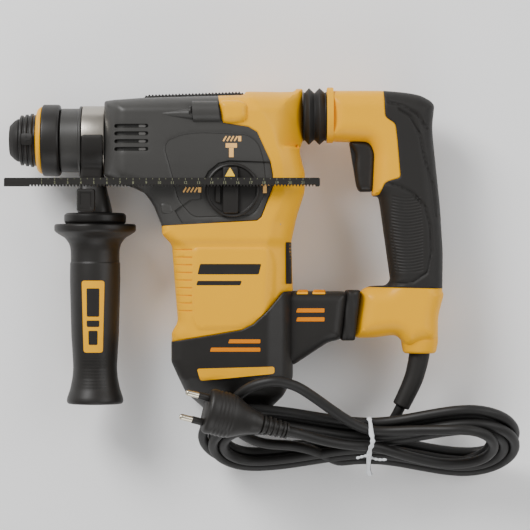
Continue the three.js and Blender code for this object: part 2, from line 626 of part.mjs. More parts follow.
function selector() {
  const [x, y] = DIAL;
  const base = BODY_HALF + GAP;
  const top = base + DIAL_THICK;
  const button = [x - 13, x - 8.1, y - 17, y + 8];
  const dial = turnZ([
    [0, 33], [DIAL_HUB_R, 33], [DIAL_HUB_R, base], [DIAL_R, base], [DIAL_R, top + 0.6], [DIAL_R - 1.8, top + 0.6],
    [DIAL_R - 1.8, top], [0, top],
  ], x, y, 24)
    .add(box(x - 7.4, x + 5.2, y - 18.6, y + 18.6, top - 0.2, top + DIAL_BAR))
    .add(turnZ(rod(2, 27, 34), x, y - DIAL_PIN_THROW, 12))
    .subtract(box(button[0] - GAP, button[1] + GAP, button[2] - GAP, button[3] + GAP, base - 1, base + 9));
  add('mode_dial', dial, BLACK);
  const [x0, x1, y0, y1] = button;
  const holdClear = Math.hypot(x - x1, 0) > DIAL_HUB_R ? x1 : x - DIAL_HUB_R - GAP;
  add('dial_lock_button', box(x0, holdClear, y0, y1, base + 1.1, top + 1.4), BLACK);
  const slotHalf = 2 + 1.3;
  const fork = box(x - 38, x + 11, y - 12, y + 6, 28, 32.4)
    .subtract(box(x - slotHalf, x + slotHalf, y - 8, y + 3, 20, 40));
  add('shift_fork', fork, STEEL);
}

// ---- rear handle -----------------------------------------------------------------------------

function rearHandle() {
  const half = HANDLE_HALF;
  const outer = prismZ(HANDLE_OUTLINE, -half, half, 5);
  const skinInner = prismZ(offset(HANDLE_OUTLINE, -GRIP_SKIN), GRIP_SKIN - half, half - GRIP_SKIN, 4);
  const coreInset = GRIP_SKIN + GAP;
  const core = prismZ(offset(HANDLE_OUTLINE, -coreInset), coreInset - half, half - coreInset, 4);
  const hollowInset = coreInset + WALL;
  const hollow = prismZ(offset(HANDLE_OUTLINE, -hollowInset), hollowInset - half, half - hollowInset, 3);
  const [pivotX, pivotY] = PIVOT;
  const tongue = box(pivotX - 5.5, 106, pivotY - 6, pivotY + 6, -7, 7);
  const earSlot = box(80, pivotX + 6, pivotY - 7, pivotY + 7, 7.6, 13.6);
  const pocket = box(85, 125, -41.5, -1.4, -TRIGGER_HALF - 0.6, TRIGGER_HALF + 0.6);
  const flange = prismZ(HANDLE_FLANGE, -half * 0.6, half * 0.6, 1.5);
  const shells = split(outer.subtract(prismZ(offset(GRIP_REGION, GAP), -60, 60)).add(core).add(flange)
    .subtract(hollow).add(tongue)
    .subtract(pocket).subtract(earSlot).subtract(earSlot.mirror([0, 0, 1]))
    .subtract(turnZ(rod(PIVOT_PIN_R + GAP, -30, 30), pivotX, pivotY, 16)));
  add('handle_shell_left', shells.left, YELLOW);
  add('handle_shell_right', shells.right, YELLOW);
  const grip = outer.intersect(prismZ(GRIP_REGION, -60, 60)).subtract(skinInner).subtract(pocket);
  add('handle_grip', grip, RUBBER);
  const trigger = [
    [92.6, -3], [96.6, -12.2], [95.9, -21.7], [97.3, -35.2], [99.4, -40.4], [112, -40.4], [117, -38],
    [117, -8], [112, -3],
  ];
  add('trigger', prismZ(trigger, -TRIGGER_HALF, TRIGGER_HALF, 1.5), BLACK);
  const switchFront = 117 + TRIGGER_TRAVEL + 1;
  const switchHalf = HANDLE_HALF - 9;
  add('trigger_switch', box(switchFront, switchFront + 14, -38, -8, -switchHalf, switchHalf), BLACK);
  add('handle_pivot_pin', turnZ(rod(PIVOT_PIN_R, -12.5, 12.5), pivotX, pivotY, 16), STEEL);
}

// Rubber parts that let the handle swing on its pivot.
function dampers() {
  const folds = [[18.2, 56.1], [20.5, 57], [22.6, 60.4], [18.2, 64.6], [22.6, 68.6], [20.5, 72.2], [18.2, 73.6]];
  const inside = folds.map(([r, x]) => [r - 2.4, x]).reverse();
  add('bellows', turnX([...folds, ...inside], TUBE_AXIS, 0), RUBBER);
  const coil = [];
  const turns = 4;
  for (let i = 0; i <= turns * 8; i += 1) {
    const angle = i * Math.PI / 4;
    coil.push([57.8 + 14 * i / (turns * 8), TUBE_AXIS + 9 * Math.cos(angle), 9 * Math.sin(angle)]);
  }
  add('damper_spring', tube(coil, 1.2, turns * 10, 6), STEEL);
  const outline = [[90.8, -118], [100.3, -117.6], [94.6, -155.4], [86.2, -155.6]];
  const boot = prismZ(outline, -ARM_HALF, ARM_HALF, 1.5)
    .subtract(box(70, 110, -152, -121.5, WALL - ARM_HALF, ARM_HALF - WALL));
  add('lower_boot', boot, RUBBER);
}

// ---- side handle and depth rod ---------------------------------------------------------------

function sideHandle() {
  const x0 = SIDE_AXIS - CLAMP_HALF;
  const x1 = SIDE_AXIS + CLAMP_HALF - 2;
  const seat = NECK_R + 1.9 + 2 * GAP;
  const rodOut = DEPTH_ROD_Z + DEPTH_ROD_THICK / 2 + 3;
  const saddle = [
    [-9.6, -seat - 4], [-9.6, seat + 4], [-24, seat + 6], [-27.5, rodOut], [-41.5, rodOut], [-43, 20],
    [-46, 13], [-46, -13], [-40, -24],
  ];
  const rodWindow = box(x0 - 5, x1 + 5, DEPTH_ROD_Y - DEPTH_ROD_HEIGHT / 2 - 0.4, DEPTH_ROD_Y + DEPTH_ROD_HEIGHT / 2 + 0.4,
    DEPTH_ROD_Z - DEPTH_ROD_THICK / 2 - 0.4, DEPTH_ROD_Z + DEPTH_ROD_THICK / 2 + 0.4);
  const stem = turnY([[0, -44], [9.4, -44], [9.4, -46.2], [12.6, -46.2], [13, -54], [13, DISC_LEVEL[1] - 1], [24.3, DISC_LEVEL[1]],
    [24.3, DISC_LEVEL[0]], [0, DISC_LEVEL[0]]], SIDE_AXIS);
  const bandR = NECK_R + GAP;
  const slots = box(x0 + 0.4, x1 - 0.4, -22, 0, -seat - 3, -bandR + 0.5)
    .add(box(x0 + 0.4, x1 - 0.4, -22, 0, bandR - 0.5, seat + 3));
  const clamp = prismX(saddle, x0, x1)
    .subtract(turnX(rod(seat, -140, -90), 0, 0, 24))
    .subtract(rodWindow)
    .add(stem)
    .subtract(turnY(rod(BOLT_R + GAP, -80, -20), SIDE_AXIS, 0, 16))
    .subtract(slots);
  add('side_clamp', clamp, BLACK);
  add('steel_band', steelBand(x0 + 1, x1 - 1, bandR), STEEL);
  add('clamp_bolt', turnY(rod(BOLT_R, DISC_LEVEL[0] - 12, -32), SIDE_AXIS, 0, 16), STEEL);
  add('side_grip', sideGrip(), RUBBER);
  add('rod_latch', box(SIDE_AXIS - 11, SIDE_AXIS + 3.6, -56, -47, 16.2, 22), BLACK);
}

// Strap over the neck: half a ring with two straight legs.
function steelBand(x0, x1, innerR) {
  const outer = new THREE.Shape();
  const outerR = innerR + BAND_THICK;
  outer.moveTo(-19, -outerR);
  outer.lineTo(0, -outerR);
  outer.absarc(0, 0, outerR, -Math.PI / 2, Math.PI / 2);
  outer.lineTo(-19, outerR);
  outer.lineTo(-19, innerR);
  outer.lineTo(0, innerR);
  outer.absarc(0, 0, innerR, Math.PI / 2, -Math.PI / 2, true);
  outer.lineTo(-19, -innerR);
  return prismX(outer.extractPoints(10).shape.map((p) => [p.x, p.y]), x0, x1);
}

function sideGrip() {
  const top = DISC_LEVEL[0] - GAP;
  const end = SIDE_GRIP_END;
  return turnY([
    [BOLT_R + 1, top], [32.1, top], [32.1, top - 6.6], [24, top - 12], [19.1, top - 19], [19.1, top - 30],
    [19.7, top - 31], [18.7, end + 54], [17.2, end + 28.4], [19, end + 10], [22.3, end], [12, end],
    [0, end], [0, top - 60], [BOLT_R + 1, top - 60],
  ], SIDE_AXIS, 0, 20);
}

// Toothed rod: the lower edge carries a fine rack, with a smooth grip zone at the front.
function depthRod() {
  const pitch = 5;
  const depth = 1.1;
  const [x0, x1] = DEPTH_ROD_X;
  const top = DEPTH_ROD_Y + DEPTH_ROD_HEIGHT / 2;
  const low = DEPTH_ROD_Y - DEPTH_ROD_HEIGHT / 2;
  const outline = [[x0, low + 1], [x0, top - 1], [x0 + 1, top], [x1 - 1, top], [x1, top - 1], [x1, low + depth]];
  const teeth = Math.floor((x1 - x0 - 22) / pitch);
  for (let i = 0; i < teeth; i += 1) {
    const x = x1 - 1 - i * pitch;
    outline.push([x - 0.7 * pitch / 2, low], [x - pitch / 2 - 0.35, low], [x - pitch, low + depth]);
  }
  outline.push([x0 + 19, low], [x0 + 1, low]);
  const z = DEPTH_ROD_Z;
  add('depth_rod', prismZ(outline, z - DEPTH_ROD_THICK / 2, z + DEPTH_ROD_THICK / 2, 0), BLACK);
}

// ---- cord ------------------------------------------------------------------------------------

// Routes are given in bench coordinates, with Z = 0 on the bench, so they hang on the scene root.
const CORD_LEAD = [
  [131.8, -210.2, 41], [129.4, -215.1, 39.8], [126.4, -220.6, 36.4], [122.8, -225.8, 31.4],
  [118.2, -230.4, 25.2], [112, -234.4, 18.4], [103.6, -237.6, 12.2], [92, -239.8, 7.4],
  [78, -241.2, 5.1], [62, -241.8, 4.4], [44, -242, 4.4],
];
const GUARD_PATH = [
  [147.5, -163.3, 41], [147.1, -167.5, 41], [145.7, -175.4, 41], [143.3, -184.7, 41], [140.4, -192.2, 41],
  [136.8, -199.9, 41], [132.4, -208.9, 41],
];
const PLUG_FACE = [-19, -208.4, 100.5];
const PLUG_YAW = THREE.MathUtils.degToRad(-15);
const PLUG_PITCH = THREE.MathUtils.degToRad(14);
const PLUG_LENGTH = 66;
const CORD_TAIL = [
  [43.25, -225.1, 84.4], [50, -226.9, 82.5], [58, -229.4, 78.8], [68, -232.6, 73.2], [80, -235.6, 67.2],
  [94, -237.9, 62.2], [110, -239, 59.6], [128, -239.4, 58.7], [148, -239.4, 58.6], [168, -239.4, 58.6],
  [186, -239.4, 58.6],
];

function hankGroup(root) {
  const group = new THREE.Group();
  const half = 2 * CORD_R;
  const height = HANK_END_R * Math.sin(HANK_LEAN) + half * Math.cos(HANK_LEAN) + GAP;
  group.position.set(0, HANK_Y, height);
  group.rotation.x = HANK_LEAN;
  root.add(group);
  const outline = new THREE.Shape();
  const [left, right] = HANK_X;
  outline.moveTo(left, -HANK_END_R);
  outline.bezierCurveTo(left + 35, -HANK_END_R, TIE_X - 25, -HANK_WAIST, TIE_X, -HANK_WAIST);
  outline.bezierCurveTo(TIE_X + 25, -HANK_WAIST, right - 30, -HANK_END_R, right, -HANK_END_R);
  outline.absarc(right, 0, HANK_END_R, -Math.PI / 2, Math.PI / 2);
  outline.bezierCurveTo(right - 30, HANK_END_R, TIE_X + 25, HANK_WAIST, TIE_X, HANK_WAIST);
  outline.bezierCurveTo(TIE_X - 25, HANK_WAIST, left + 35, HANK_END_R, left, HANK_END_R);
  outline.absarc(left, 0, HANK_END_R, Math.PI / 2, 3 * Math.PI / 2);
  const points = outline.extractPoints(8).shape.map((p) => [p.x, p.y]);
  const unique = points.filter(([x, y], i) => {
    const [nextX, nextY] = points[(i + 1) % points.length];
    return Math.hypot(nextX - x, nextY - y) > 0.01;
  });
  add('cord_hank', prismZ(unique, -half, half), RUBBER, group);
  const tieHeight = 2 * half + 2.5;
  const inner = [[-HANK_WAIST - 0.6, -half - GAP], [HANK_WAIST + 0.6, -half - GAP],
    [HANK_WAIST + 0.6, tieHeight], [-HANK_WAIST - 0.6, tieHeight]];
  const tie = prismX(offset(inner, 1.4), TIE_X - 1.8, TIE_X + 1.8).subtract(prismX(inner, TIE_X - 5, TIE_X + 5));
  add('cord_tie', tie, WHITE, group);
}

function plugGroup(root) {
  const group = new THREE.Group();
  group.position.set(...PLUG_FACE);
  group.rotation.set(0, PLUG_PITCH, PLUG_YAW, 'ZYX');
  root.add(group);
  const body = turnX([
    [0, 0], [16.4, 0], [17.6, 2], [17.6, 16], [15.4, 24], [9, 40], [7.6, 44], [6.4, PLUG_LENGTH], [0, PLUG_LENGTH],
  ], 0, 0, 24).scale([1, 1, 0.76]);
  add('plug_body', body, BLACK, group);
  const pinR = 2.4;
  const pin = [[0, -19], [1.4, -19], [pinR, -18], [pinR, -GAP], [0, -GAP]];
  add('plug_pin_1', turnX(pin, 9.5, 0, 12), NICKEL, group);
  add('plug_pin_2', turnX(pin, -9.5, 0, 12), NICKEL, group);
}

function cord(root) {
  add('cord_guard', tube(GUARD_PATH, 8.2, 8, 10, 6.6), RUBBER, root);
  add('cord_lead', tube(CORD_LEAD, CORD_R, 12), RUBBER, root);
  add('cord_tail', tube(CORD_TAIL, CORD_R, 12), RUBBER, root);
  hankGroup(root);
  plugGroup(root);
}

// ---- assembly --------------------------------------------------------------------------------

const root = new THREE.Group();
root.add(tool);
housings();
motor();
gearTrain();
hammer();
chuck();
selector();
rearHandle();
dampers();
sideHandle();
depthRod();
cord(root);

export default root;
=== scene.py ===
"""Looks of a corded rotary hammer that lies on its side with its cord in a tied hank."""
import logging
import math
from dataclasses import dataclass
from enum import Enum

import bmesh
import bpy
import numpy as np
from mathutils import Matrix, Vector
from mathutils.geometry import delaunay_2d_cdt


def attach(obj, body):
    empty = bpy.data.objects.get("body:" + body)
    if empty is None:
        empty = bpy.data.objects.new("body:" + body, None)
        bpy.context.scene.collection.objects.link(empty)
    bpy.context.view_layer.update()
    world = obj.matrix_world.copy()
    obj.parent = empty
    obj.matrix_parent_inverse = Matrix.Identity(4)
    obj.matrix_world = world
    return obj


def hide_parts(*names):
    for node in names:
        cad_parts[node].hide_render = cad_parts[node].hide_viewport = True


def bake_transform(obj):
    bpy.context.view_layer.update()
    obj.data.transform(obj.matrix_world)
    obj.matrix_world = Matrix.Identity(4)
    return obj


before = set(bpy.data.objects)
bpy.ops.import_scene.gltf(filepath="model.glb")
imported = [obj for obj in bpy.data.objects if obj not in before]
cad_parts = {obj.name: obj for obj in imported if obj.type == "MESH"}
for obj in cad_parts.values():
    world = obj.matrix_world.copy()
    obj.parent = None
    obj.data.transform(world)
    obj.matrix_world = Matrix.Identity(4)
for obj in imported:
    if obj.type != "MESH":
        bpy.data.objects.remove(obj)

LOG = logging.getLogger("rotary_hammer")
MM = 0.001
REST = 41.0                 # height of the tool's split plane above the bench, in millimetres
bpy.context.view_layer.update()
PRINT_RISE = 0.12           # how far a print stands above its face
PRINT_SINK = 0.3            # how far a print's underside lies below that face
CLOUD_SCALE = 28.0          # scale of the soft cloud that a finish's colour follows
SCUFF_SCALE = 160.0         # scale of its faint scuffs
CLOUD_SHARE = 0.06          # how far the cloud moves the roughness
SCUFF_SHARE = 0.16          # how far the scuffs move it
METAL_GLOSS = 0.5           # plain reflection of a metal

# Outlines in millimetres, as in the part's source; x runs to the rear handle and y up the tool.
BODY_OUTLINE = [
    (-99, -29), (-99, 29.6), (-70.6, 31.7), (9.4, 34.2), (11, 37), (48.5, 37.8), (50.5, 40.4), (55.5, 40.4),
    (55.7, 0), (52.4, -9.6), (56.8, -25.8), (56.8, -40.7), (50.4, -60.9), (46.3, -79.8), (47.6, -117),
    (47.6, -185.3), (40, -200), (28, -212), (-20, -212), (-35.5, -196.8), (-46.5, -172.4), (-46.5, -150),
    (-41.6, -141.9), (-43.6, -117.6), (-46.3, -81.9), (-53.7, -74.3), (-53.7, -67.7), (-60.4, -51.5),
    (-67.2, -42), (-76.7, -37.3)]
WIDTH_PROFILE = [(-212, 14), (-197, 32), (-185, 41), (22, 41), (31, 36), (37.8, 27), (44, 17)]
NOSE_REGION = [
    (-10.4, 60), (-10.4, 33.7), (-6.4, 11.8), (13.2, 8.6), (19.9, 4.6), (30.1, -17.7), (32.1, -27.8),
    (32.1, -38), (23.3, -60.9), (19.9, -63.7), (-53.7, -67.7), (-70, -67.9), (-160, -67.9), (-160, 60)]
BASE_REGION = [
    (60, -116.8), (40.3, -118.5), (28.1, -133.3), (17.3, -143.3), (7.9, -148), (-12.6, -151.6),
    (-45.6, -156.9), (-70, -160), (-70, -230), (60, -230)]
ARM_OUTLINE = [(40, -118.2), (90.3, -118.5), (85.6, -155.6), (75.4, -157.6), (47.6, -175.9), (40, -175.9)]
HANDLE_OUTLINE = [
    (74, 38.7), (119, 38.7), (137, 37.1), (148, 35), (156.1, 30.3), (158.6, 26.9), (156.8, 10.7), (157.5, 0),
    (162.9, -51.5), (165.2, -88), (164.8, -118), (165.9, -121.1), (161.6, -137.4), (161.2, -156.3),
    (137.2, -162.8), (129.1, -152.2), (111.5, -154.6), (94.9, -155), (100.7, -117.8), (107.5, -114.3),
    (120.9, -113.7), (124.3, -109.6), (116.2, -51.5), (114.9, -44), (109.5, -44), (111, -10), (107, -2),
    (74, -0.5)]
GRIP_REGION = [
    (118.5, 60), (118.5, 36.4), (119.6, 17.4), (127.5, 12.1), (129, 0), (131.5, -29.8), (119.6, -33.2),
    (114.9, -43.4), (100, -44.4), (100, -114.8), (180, -116.4), (180, 60)]
REAR_FACET = ((13, 60), (17, 31), (31, 8), (39, -20), (41, -42), (31, -64), (27, -84), (24, -150))
FRONT_FACET = ((-60, 60), (-60, -70), (-31, -84), (-27, -150))
TRIGGER_OUTLINE = [
    (91.0, -1.6), (95.4, -8.0), (96.6, -13.2), (95.9, -21.7), (97.3, -35.2), (99.4, -40.4), (110, -40.4),
    (111.2, -36), (112.6, -10), (110, -3), (106, -0.8), (98, -0.2)]


# ---- numpy geometry --------------------------------------------------------------------------

def rounded(points: list, radius: float, steps: int = 4) -> np.ndarray:
    """Rounds each corner of a closed outline.

    Each corner becomes a quadratic curve that starts and ends at the radius from the corner, or at
    0.45 of the shorter side where that is less.

    Args:
        points: corners of the outline.
        radius: reach of the rounding along each side.
        steps: spans of each curve.
    Returns:
        The rounded outline as an array of points.
    """
    p = np.asarray(points, float)
    to_last = np.roll(p, 1, 0) - p
    to_next = np.roll(p, -1, 0) - p
    a = np.linalg.norm(to_last, axis=1, keepdims=True)
    b = np.linalg.norm(to_next, axis=1, keepdims=True)
    reach = np.minimum(radius, 0.45 * np.minimum(a, b))
    start, end = p + to_last / a * reach, p + to_next / b * reach
    t = np.linspace(0, 1, steps + 1)[None, :, None]
    curve = (1 - t) ** 2 * start[:, None] + 2 * t * (1 - t) * p[:, None] + t ** 2 * end[:, None]
    return curve.reshape(-1, 2)


def resampled(points: np.ndarray, spacing: float) -> np.ndarray:
    """Adds points to a closed outline so that none of its sides is longer than the spacing."""
    p = np.asarray(points, float)
    nxt = np.roll(p, -1, 0)
    out = []
    for a, b in zip(p, nxt):
        length = float(np.hypot(*(b - a)))
        if length < 1e-6:
            continue
        n = max(1, int(math.ceil(length / spacing)))
        out.append(a + (b - a) * (np.arange(n) / n)[:, None])
    return np.concatenate(out)


def grown(points: np.ndarray, distance: float) -> np.ndarray:
    """Moves a closed outline outwards by a distance, or inwards by a negative one, along its mitres."""
    p = np.asarray(points, float)
    nxt = np.roll(p, -1, 0)
    side = np.sign(np.sum(p[:, 0] * nxt[:, 1] - nxt[:, 0] * p[:, 1]))
    edge = nxt - p
    normal = side * np.stack([edge[:, 1], -edge[:, 0]], 1) / np.linalg.norm(edge, axis=1, keepdims=True)
    last = np.roll(normal, 1, 0)
    scale = distance / np.maximum(1 + np.sum(last * normal, 1), 0.4)
    return p + (last + normal) * scale[:, None]


def inside(points: np.ndarray, loop: np.ndarray) -> np.ndarray:
    """Says for each point whether an odd number of the loop's sides cross the ray to its right."""
    x, y = points[:, 0:1], points[:, 1:2]
    a, b = loop[None, :, :], np.roll(loop, -1, 0)[None, :, :]
    crosses = (a[..., 1] > y) != (b[..., 1] > y)
    rise = np.where(np.abs(b[..., 1] - a[..., 1]) < 1e-9, 1e-9, b[..., 1] - a[..., 1])
    at = (b[..., 0] - a[..., 0]) * (y - a[..., 1]) / rise + a[..., 0]
    return np.sum(crosses & (x < at), 1) % 2 == 1


def distance(points: np.ndarray, loop: np.ndarray, closed: bool = True) -> np.ndarray:
    """Gives each point's distance to the nearest side of a loop or line."""
    a = loop if closed else loop[:-1]
    b = np.roll(loop, -1, 0) if closed else loop[1:]
    best = np.full(len(points), 1e9)
    for p, q in zip(a, b):
        d = q - p
        t = np.clip(((points - p) @ d) / max(float(d @ d), 1e-12), 0, 1)
        best = np.minimum(best, np.linalg.norm(points - p - t[:, None] * d, axis=1))
    return best


def smooth_step(value: np.ndarray, low: float, high: float) -> np.ndarray:
    """Rises from 0 at the low value to 1 at the high one along a cubic."""
    t = np.clip((value - low) / (high - low), 0, 1)
    return t * t * (3 - 2 * t)


def slot_loop(x0: float, x1: float, y: float, width: float) -> np.ndarray:
    """Outlines a slot with round ends: two half circles of half the width."""
    turn = np.linspace(-math.pi / 2, math.pi / 2, 9)
    r = width / 2
    right = np.stack([x1 - r + r * np.cos(turn), y + r * np.sin(turn)], 1)
    left = np.stack([x0 + r - r * np.cos(turn), y - r * np.sin(turn)], 1)
    return np.concatenate([right, left])


class Blank:
    """A mesh under way: vertices in millimetres above the split plane or the bench, and faces."""

    def __init__(self, name: str) -> None:
        """Starts an empty blank with the name of its piece."""
        self.name = name
        self.points: list[np.ndarray] = []
        self.faces: list[list[int]] = []
        self.count = 0

    def add(self, points: np.ndarray, faces: list) -> "Blank":
        """Adds a closed set of faces whose indices count from its own first point."""
        self.points.append(np.asarray(points, float))
        self.faces.extend([[int(i) + self.count for i in face] for face in faces])
        self.count += len(points)
        return self

    def grid(self, rows: np.ndarray, caps: bool = True) -> "Blank":
        """Joins rings of points, an array [ring, point, xyz], by quads, and caps both end rings if told to."""
        n, m = rows.shape[:2]
        i, j = np.meshgrid(np.arange(n - 1), np.arange(m), indexing="ij")
        k = (j + 1) % m
        quads = np.stack([i * m + j, i * m + k, (i + 1) * m + k, (i + 1) * m + j], -1).reshape(-1, 4).tolist()
        if caps:
            quads += [list(range(m))[::-1], list(range((n - 1) * m, n * m))]
        return self.add(rows.reshape(-1, 3), quads)

    def piece(self, body: str, finish: "Finish", replaces: tuple = (), slot: str = "",
              lift: float = REST, sharp: float = 35) -> bpy.types.Object:
        """Turns the blank into a piece of the object.

        Args:
            body: body that it rides on.
            finish: its finish.
            replaces: CAD nodes that it stands for.
            slot: not used.
            lift: height of the blank's zero above the bench, in millimetres.
            sharp: angle in degrees above which an edge stays sharp.
        Returns:
            The Blender object, at the origin with its place in its mesh.
        """
        mesh = bpy.data.meshes.new(self.name)
        points = np.concatenate(self.points) + np.array([0, 0, lift])
        mesh.from_pydata((points * MM).tolist(), [], self.faces)
        mesh.update()
        obj = bpy.data.objects.new(self.name, mesh)
        bpy.context.scene.collection.objects.link(obj)
        return finish_piece(obj, body, finish, replaces, sharp)


def finish_piece(obj: bpy.types.Object, body: str, finish: "Finish", replaces: tuple = (),
                 sharp: float = 35) -> bpy.types.Object:
    """Turns a mesh's faces outwards, shades it, gives it its finish and parents it to the empty of its body; a
    piece given a tuple of bodies only has its place baked into its mesh.
    """
    bm = bmesh.new()
    bm.from_mesh(obj.data)
    bmesh.ops.remove_doubles(bm, verts=bm.verts, dist=1e-6)
    bmesh.ops.recalc_face_normals(bm, faces=bm.faces)
    for edge in bm.edges:
        edge.smooth = len(edge.link_faces) == 2 and edge.calc_face_angle(0) < math.radians(sharp)
    for face in bm.faces:
        face.smooth = True
    bm.to_mesh(obj.data)
    bm.free()
    obj.data.materials.append(finish.material())
    if isinstance(body, tuple):
        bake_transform(obj)
    else:
        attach(obj, body)
    if replaces:
        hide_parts(*replaces)
    LOG.info("%s: %d faces on %s", obj.name, len(obj.data.polygons), body)
    return obj


def turned(profile: list, axis: str, centre: tuple, segments: int = 96, round_to: float = 0.6) -> np.ndarray:
    """Turns a closed profile about an axis.

    Args:
        profile: closed outline of (radius, along) points, whose corners are rounded.
        axis: X, Y or Z.
        centre: the two coordinates of the axis, in the order of the other two letters.
        segments: steps round the axis.
        round_to: reach of the corner rounding.
    Returns:
        Rings of points [along the profile, round the axis, xyz], closed on themselves.
    """
    loop = rounded(profile, round_to, 3) if round_to else np.asarray(profile, float)
    loop = np.concatenate([loop, loop[:1]])
    turn = np.linspace(0, 2 * math.pi, segments, endpoint=False)
    r, t = loop[:, 0:1], loop[:, 1:2] + 0 * turn
    u, v = r * np.cos(turn) + centre[0], r * np.sin(turn) + centre[1]
    order = {"X": (t, u, v), "Y": (u, t, v), "Z": (u, v, t)}[axis]
    return np.stack(order, -1)


def sweep(path: np.ndarray, radius: np.ndarray, sides: int = 16) -> np.ndarray:
    """Carries a circle along a path on frames that turn no more than the path does.

    Args:
        path: points along the centre line.
        radius: radius at each point.
        sides: points of each ring.
    Returns:
        Rings of points [along, round, xyz].
    """
    tangent = np.gradient(path, axis=0)
    tangent /= np.linalg.norm(tangent, axis=1, keepdims=True)
    normal = np.zeros_like(tangent)
    first = np.cross(tangent[0], [0.13, 0.21, 1.0])
    normal[0] = first / np.linalg.norm(first)
    for i in range(1, len(path)):
        n = normal[i - 1] - tangent[i] * (normal[i - 1] @ tangent[i])
        normal[i] = n / np.linalg.norm(n)
    binormal = np.cross(tangent, normal)
    turn = np.linspace(0, 2 * math.pi, sides, endpoint=False)[None, :, None]
    r = np.asarray(radius, float).reshape(-1, 1, 1) * np.ones((len(path), 1, 1))
    return path[:, None] + r * (np.cos(turn) * normal[:, None] + np.sin(turn) * binormal[:, None])


def spline(points: list, spacing: float) -> np.ndarray:
    """Runs a Catmull-Rom curve through the points and spaces it evenly.

    Each span is a cubic whose end slopes are half the step between the neighbouring points.
    """
    p = np.asarray(points, float)
    ext = np.concatenate([2 * p[:1] - p[1:2], p, 2 * p[-1:] - p[-2:-1]])
    t = np.linspace(0, 1, 24, endpoint=False)[:, None]
    spans = []
    for a, b, c, d in zip(ext[:-3], ext[1:-2], ext[2:-1], ext[3:]):
        spans.append(0.5 * (2 * b + (c - a) * t + (2 * a - 5 * b + 4 * c - d) * t ** 2
                            + (3 * b - a - 3 * c + d) * t ** 3))
    line = np.concatenate(spans + [p[-1:]])
    walked = np.concatenate([[0], np.cumsum(np.linalg.norm(np.diff(line, axis=0), axis=1))])
    steps = np.linspace(0, walked[-1], max(2, int(walked[-1] / spacing)))
    return np.stack([np.interp(steps, walked, line[:, k]) for k in range(3)], 1)


def lattice(area: np.ndarray, spacing: float) -> np.ndarray:
    """Fills an outline with a grid of points whose rows are staggered."""
    low, high = area.min(0), area.max(0)
    gx, gy = np.meshgrid(np.arange(low[0], high[0], spacing), np.arange(low[1], high[1], spacing * 0.87))
    gx = gx + (np.arange(gx.shape[0]) % 2)[:, None] * spacing / 2
    points = np.stack([gx.ravel(), gy.ravel()], 1)
    return points[inside(points, area)]


def tiles(loops: list, outer: np.ndarray, spacing: float, patches: list = ()) -> tuple:
    """Covers an outline with triangles that respect every loop.

    Args:
        loops: closed lines that no triangle may cross, the outer one among them.
        outer: the outline to cover.
        spacing: distance between grid points.
        patches: pairs of an area's outline and its own finer spacing.
    Returns:
        Points [n, 2] and triangles [m, 3].
    """
    dense = [resampled(loop, spacing) for loop in loops]
    free, size = lattice(outer, spacing), spacing
    for area, fine in patches:
        extra = lattice(area, fine)
        free = np.concatenate([free[~inside(free, area)], extra[inside(extra, outer)]])
        size = fine
    for loop in dense:
        free = free[distance(free, loop) > 0.55 * size]
    points, edges = [], []
    for loop in dense:
        start = len(points)
        points.extend(loop.tolist())
        edges.extend([(start + i, start + (i + 1) % len(loop)) for i in range(len(loop))])
    points.extend(free.tolist())
    verts, _, faces, *_ = delaunay_2d_cdt([Vector(p) for p in points], edges, [], 0, 1e-4, False)
    return np.array([tuple(v) for v in verts]), np.array([f for f in faces if len(f) == 3])


def slab(name: str, flat: np.ndarray, faces: np.ndarray, top: np.ndarray, bottom: np.ndarray) -> Blank:
    """Closes triangles between a top and a bottom height, with walls along their free edges."""
    used, place = np.unique(faces, return_inverse=True)
    faces = place.reshape(-1, 3)
    n = len(used)
    low = np.column_stack([flat[used], bottom[used]])
    high = np.column_stack([flat[used], top[used]])
    edges = np.concatenate([faces[:, [0, 1]], faces[:, [1, 2]], faces[:, [2, 0]]])
    keys = set(map(tuple, edges.tolist()))
    free = [(a, b) for a, b in keys if (b, a) not in keys]
    walls = [[a, b, b + n, a + n][::-1] for a, b in free]
    return Blank(name).add(np.concatenate([low, high]),
                           (faces + n).tolist() + faces[:, ::-1].tolist() + walls)


# ---- finishes --------------------------------------------------------------------------------

class Wire:
    """A node socket that adds, subtracts and multiplies as numbers do, by Math nodes."""

    def __init__(self, nodes: "NodeBoard", socket: bpy.types.NodeSocket) -> None:
        """Wraps a socket of the board's material."""
        self.nodes, self.socket = nodes, socket

    def _math(self, operation: str, a: object, b: object) -> "Wire":
        """Adds one Math node on two values or wires."""
        return self.nodes.make("ShaderNodeMath", {"operation": operation}, {0: a, 1: b})[0]

    def __add__(self, other: object) -> "Wire":
        """Adds a value or wire."""
        return self._math("ADD", self, other)

    def __mul__(self, other: object) -> "Wire":
        """Multiplies by a value or wire."""
        return self._math("MULTIPLY", self, other)

    def __rsub__(self, other: object) -> "Wire":
        """Subtracts this wire from a value."""
        return self._math("SUBTRACT", other, self)

    __radd__ = __add__
    __rmul__ = __mul__


class NodeBoard:
    """The node tree of one material."""

    def __init__(self, name: str) -> None:
        """Starts a material with an empty tree."""
        self.material = bpy.data.materials.new(name)
        self.material.use_nodes = True
        self.tree = self.material.node_tree
        self.tree.nodes.clear()

    def make(self, kind: str, settings: dict | None = None, inputs: dict | None = None) -> list:
        """Makes one node.

        Args:
            kind: the node's type.
            settings: attributes of the node, and ramp stops under "stops".
            inputs: socket name or index to a value or a Wire.
        Returns:
            A wire for each output.
        """
        node = self.tree.nodes.new(kind)
        for key, value in (settings or {}).items():
            if key == "stops":
                ramp = node.color_ramp
                for element, (place, color) in zip(ramp.elements, value):
                    element.position, element.color = place, color
            else:
                setattr(node, key, value)
        for key, value in (inputs or {}).items():
            if isinstance(value, Wire):
                self.tree.links.new(value.socket, node.inputs[key])
            else:
                node.inputs[key].default_value = value
        return [Wire(self, out) for out in node.outputs]


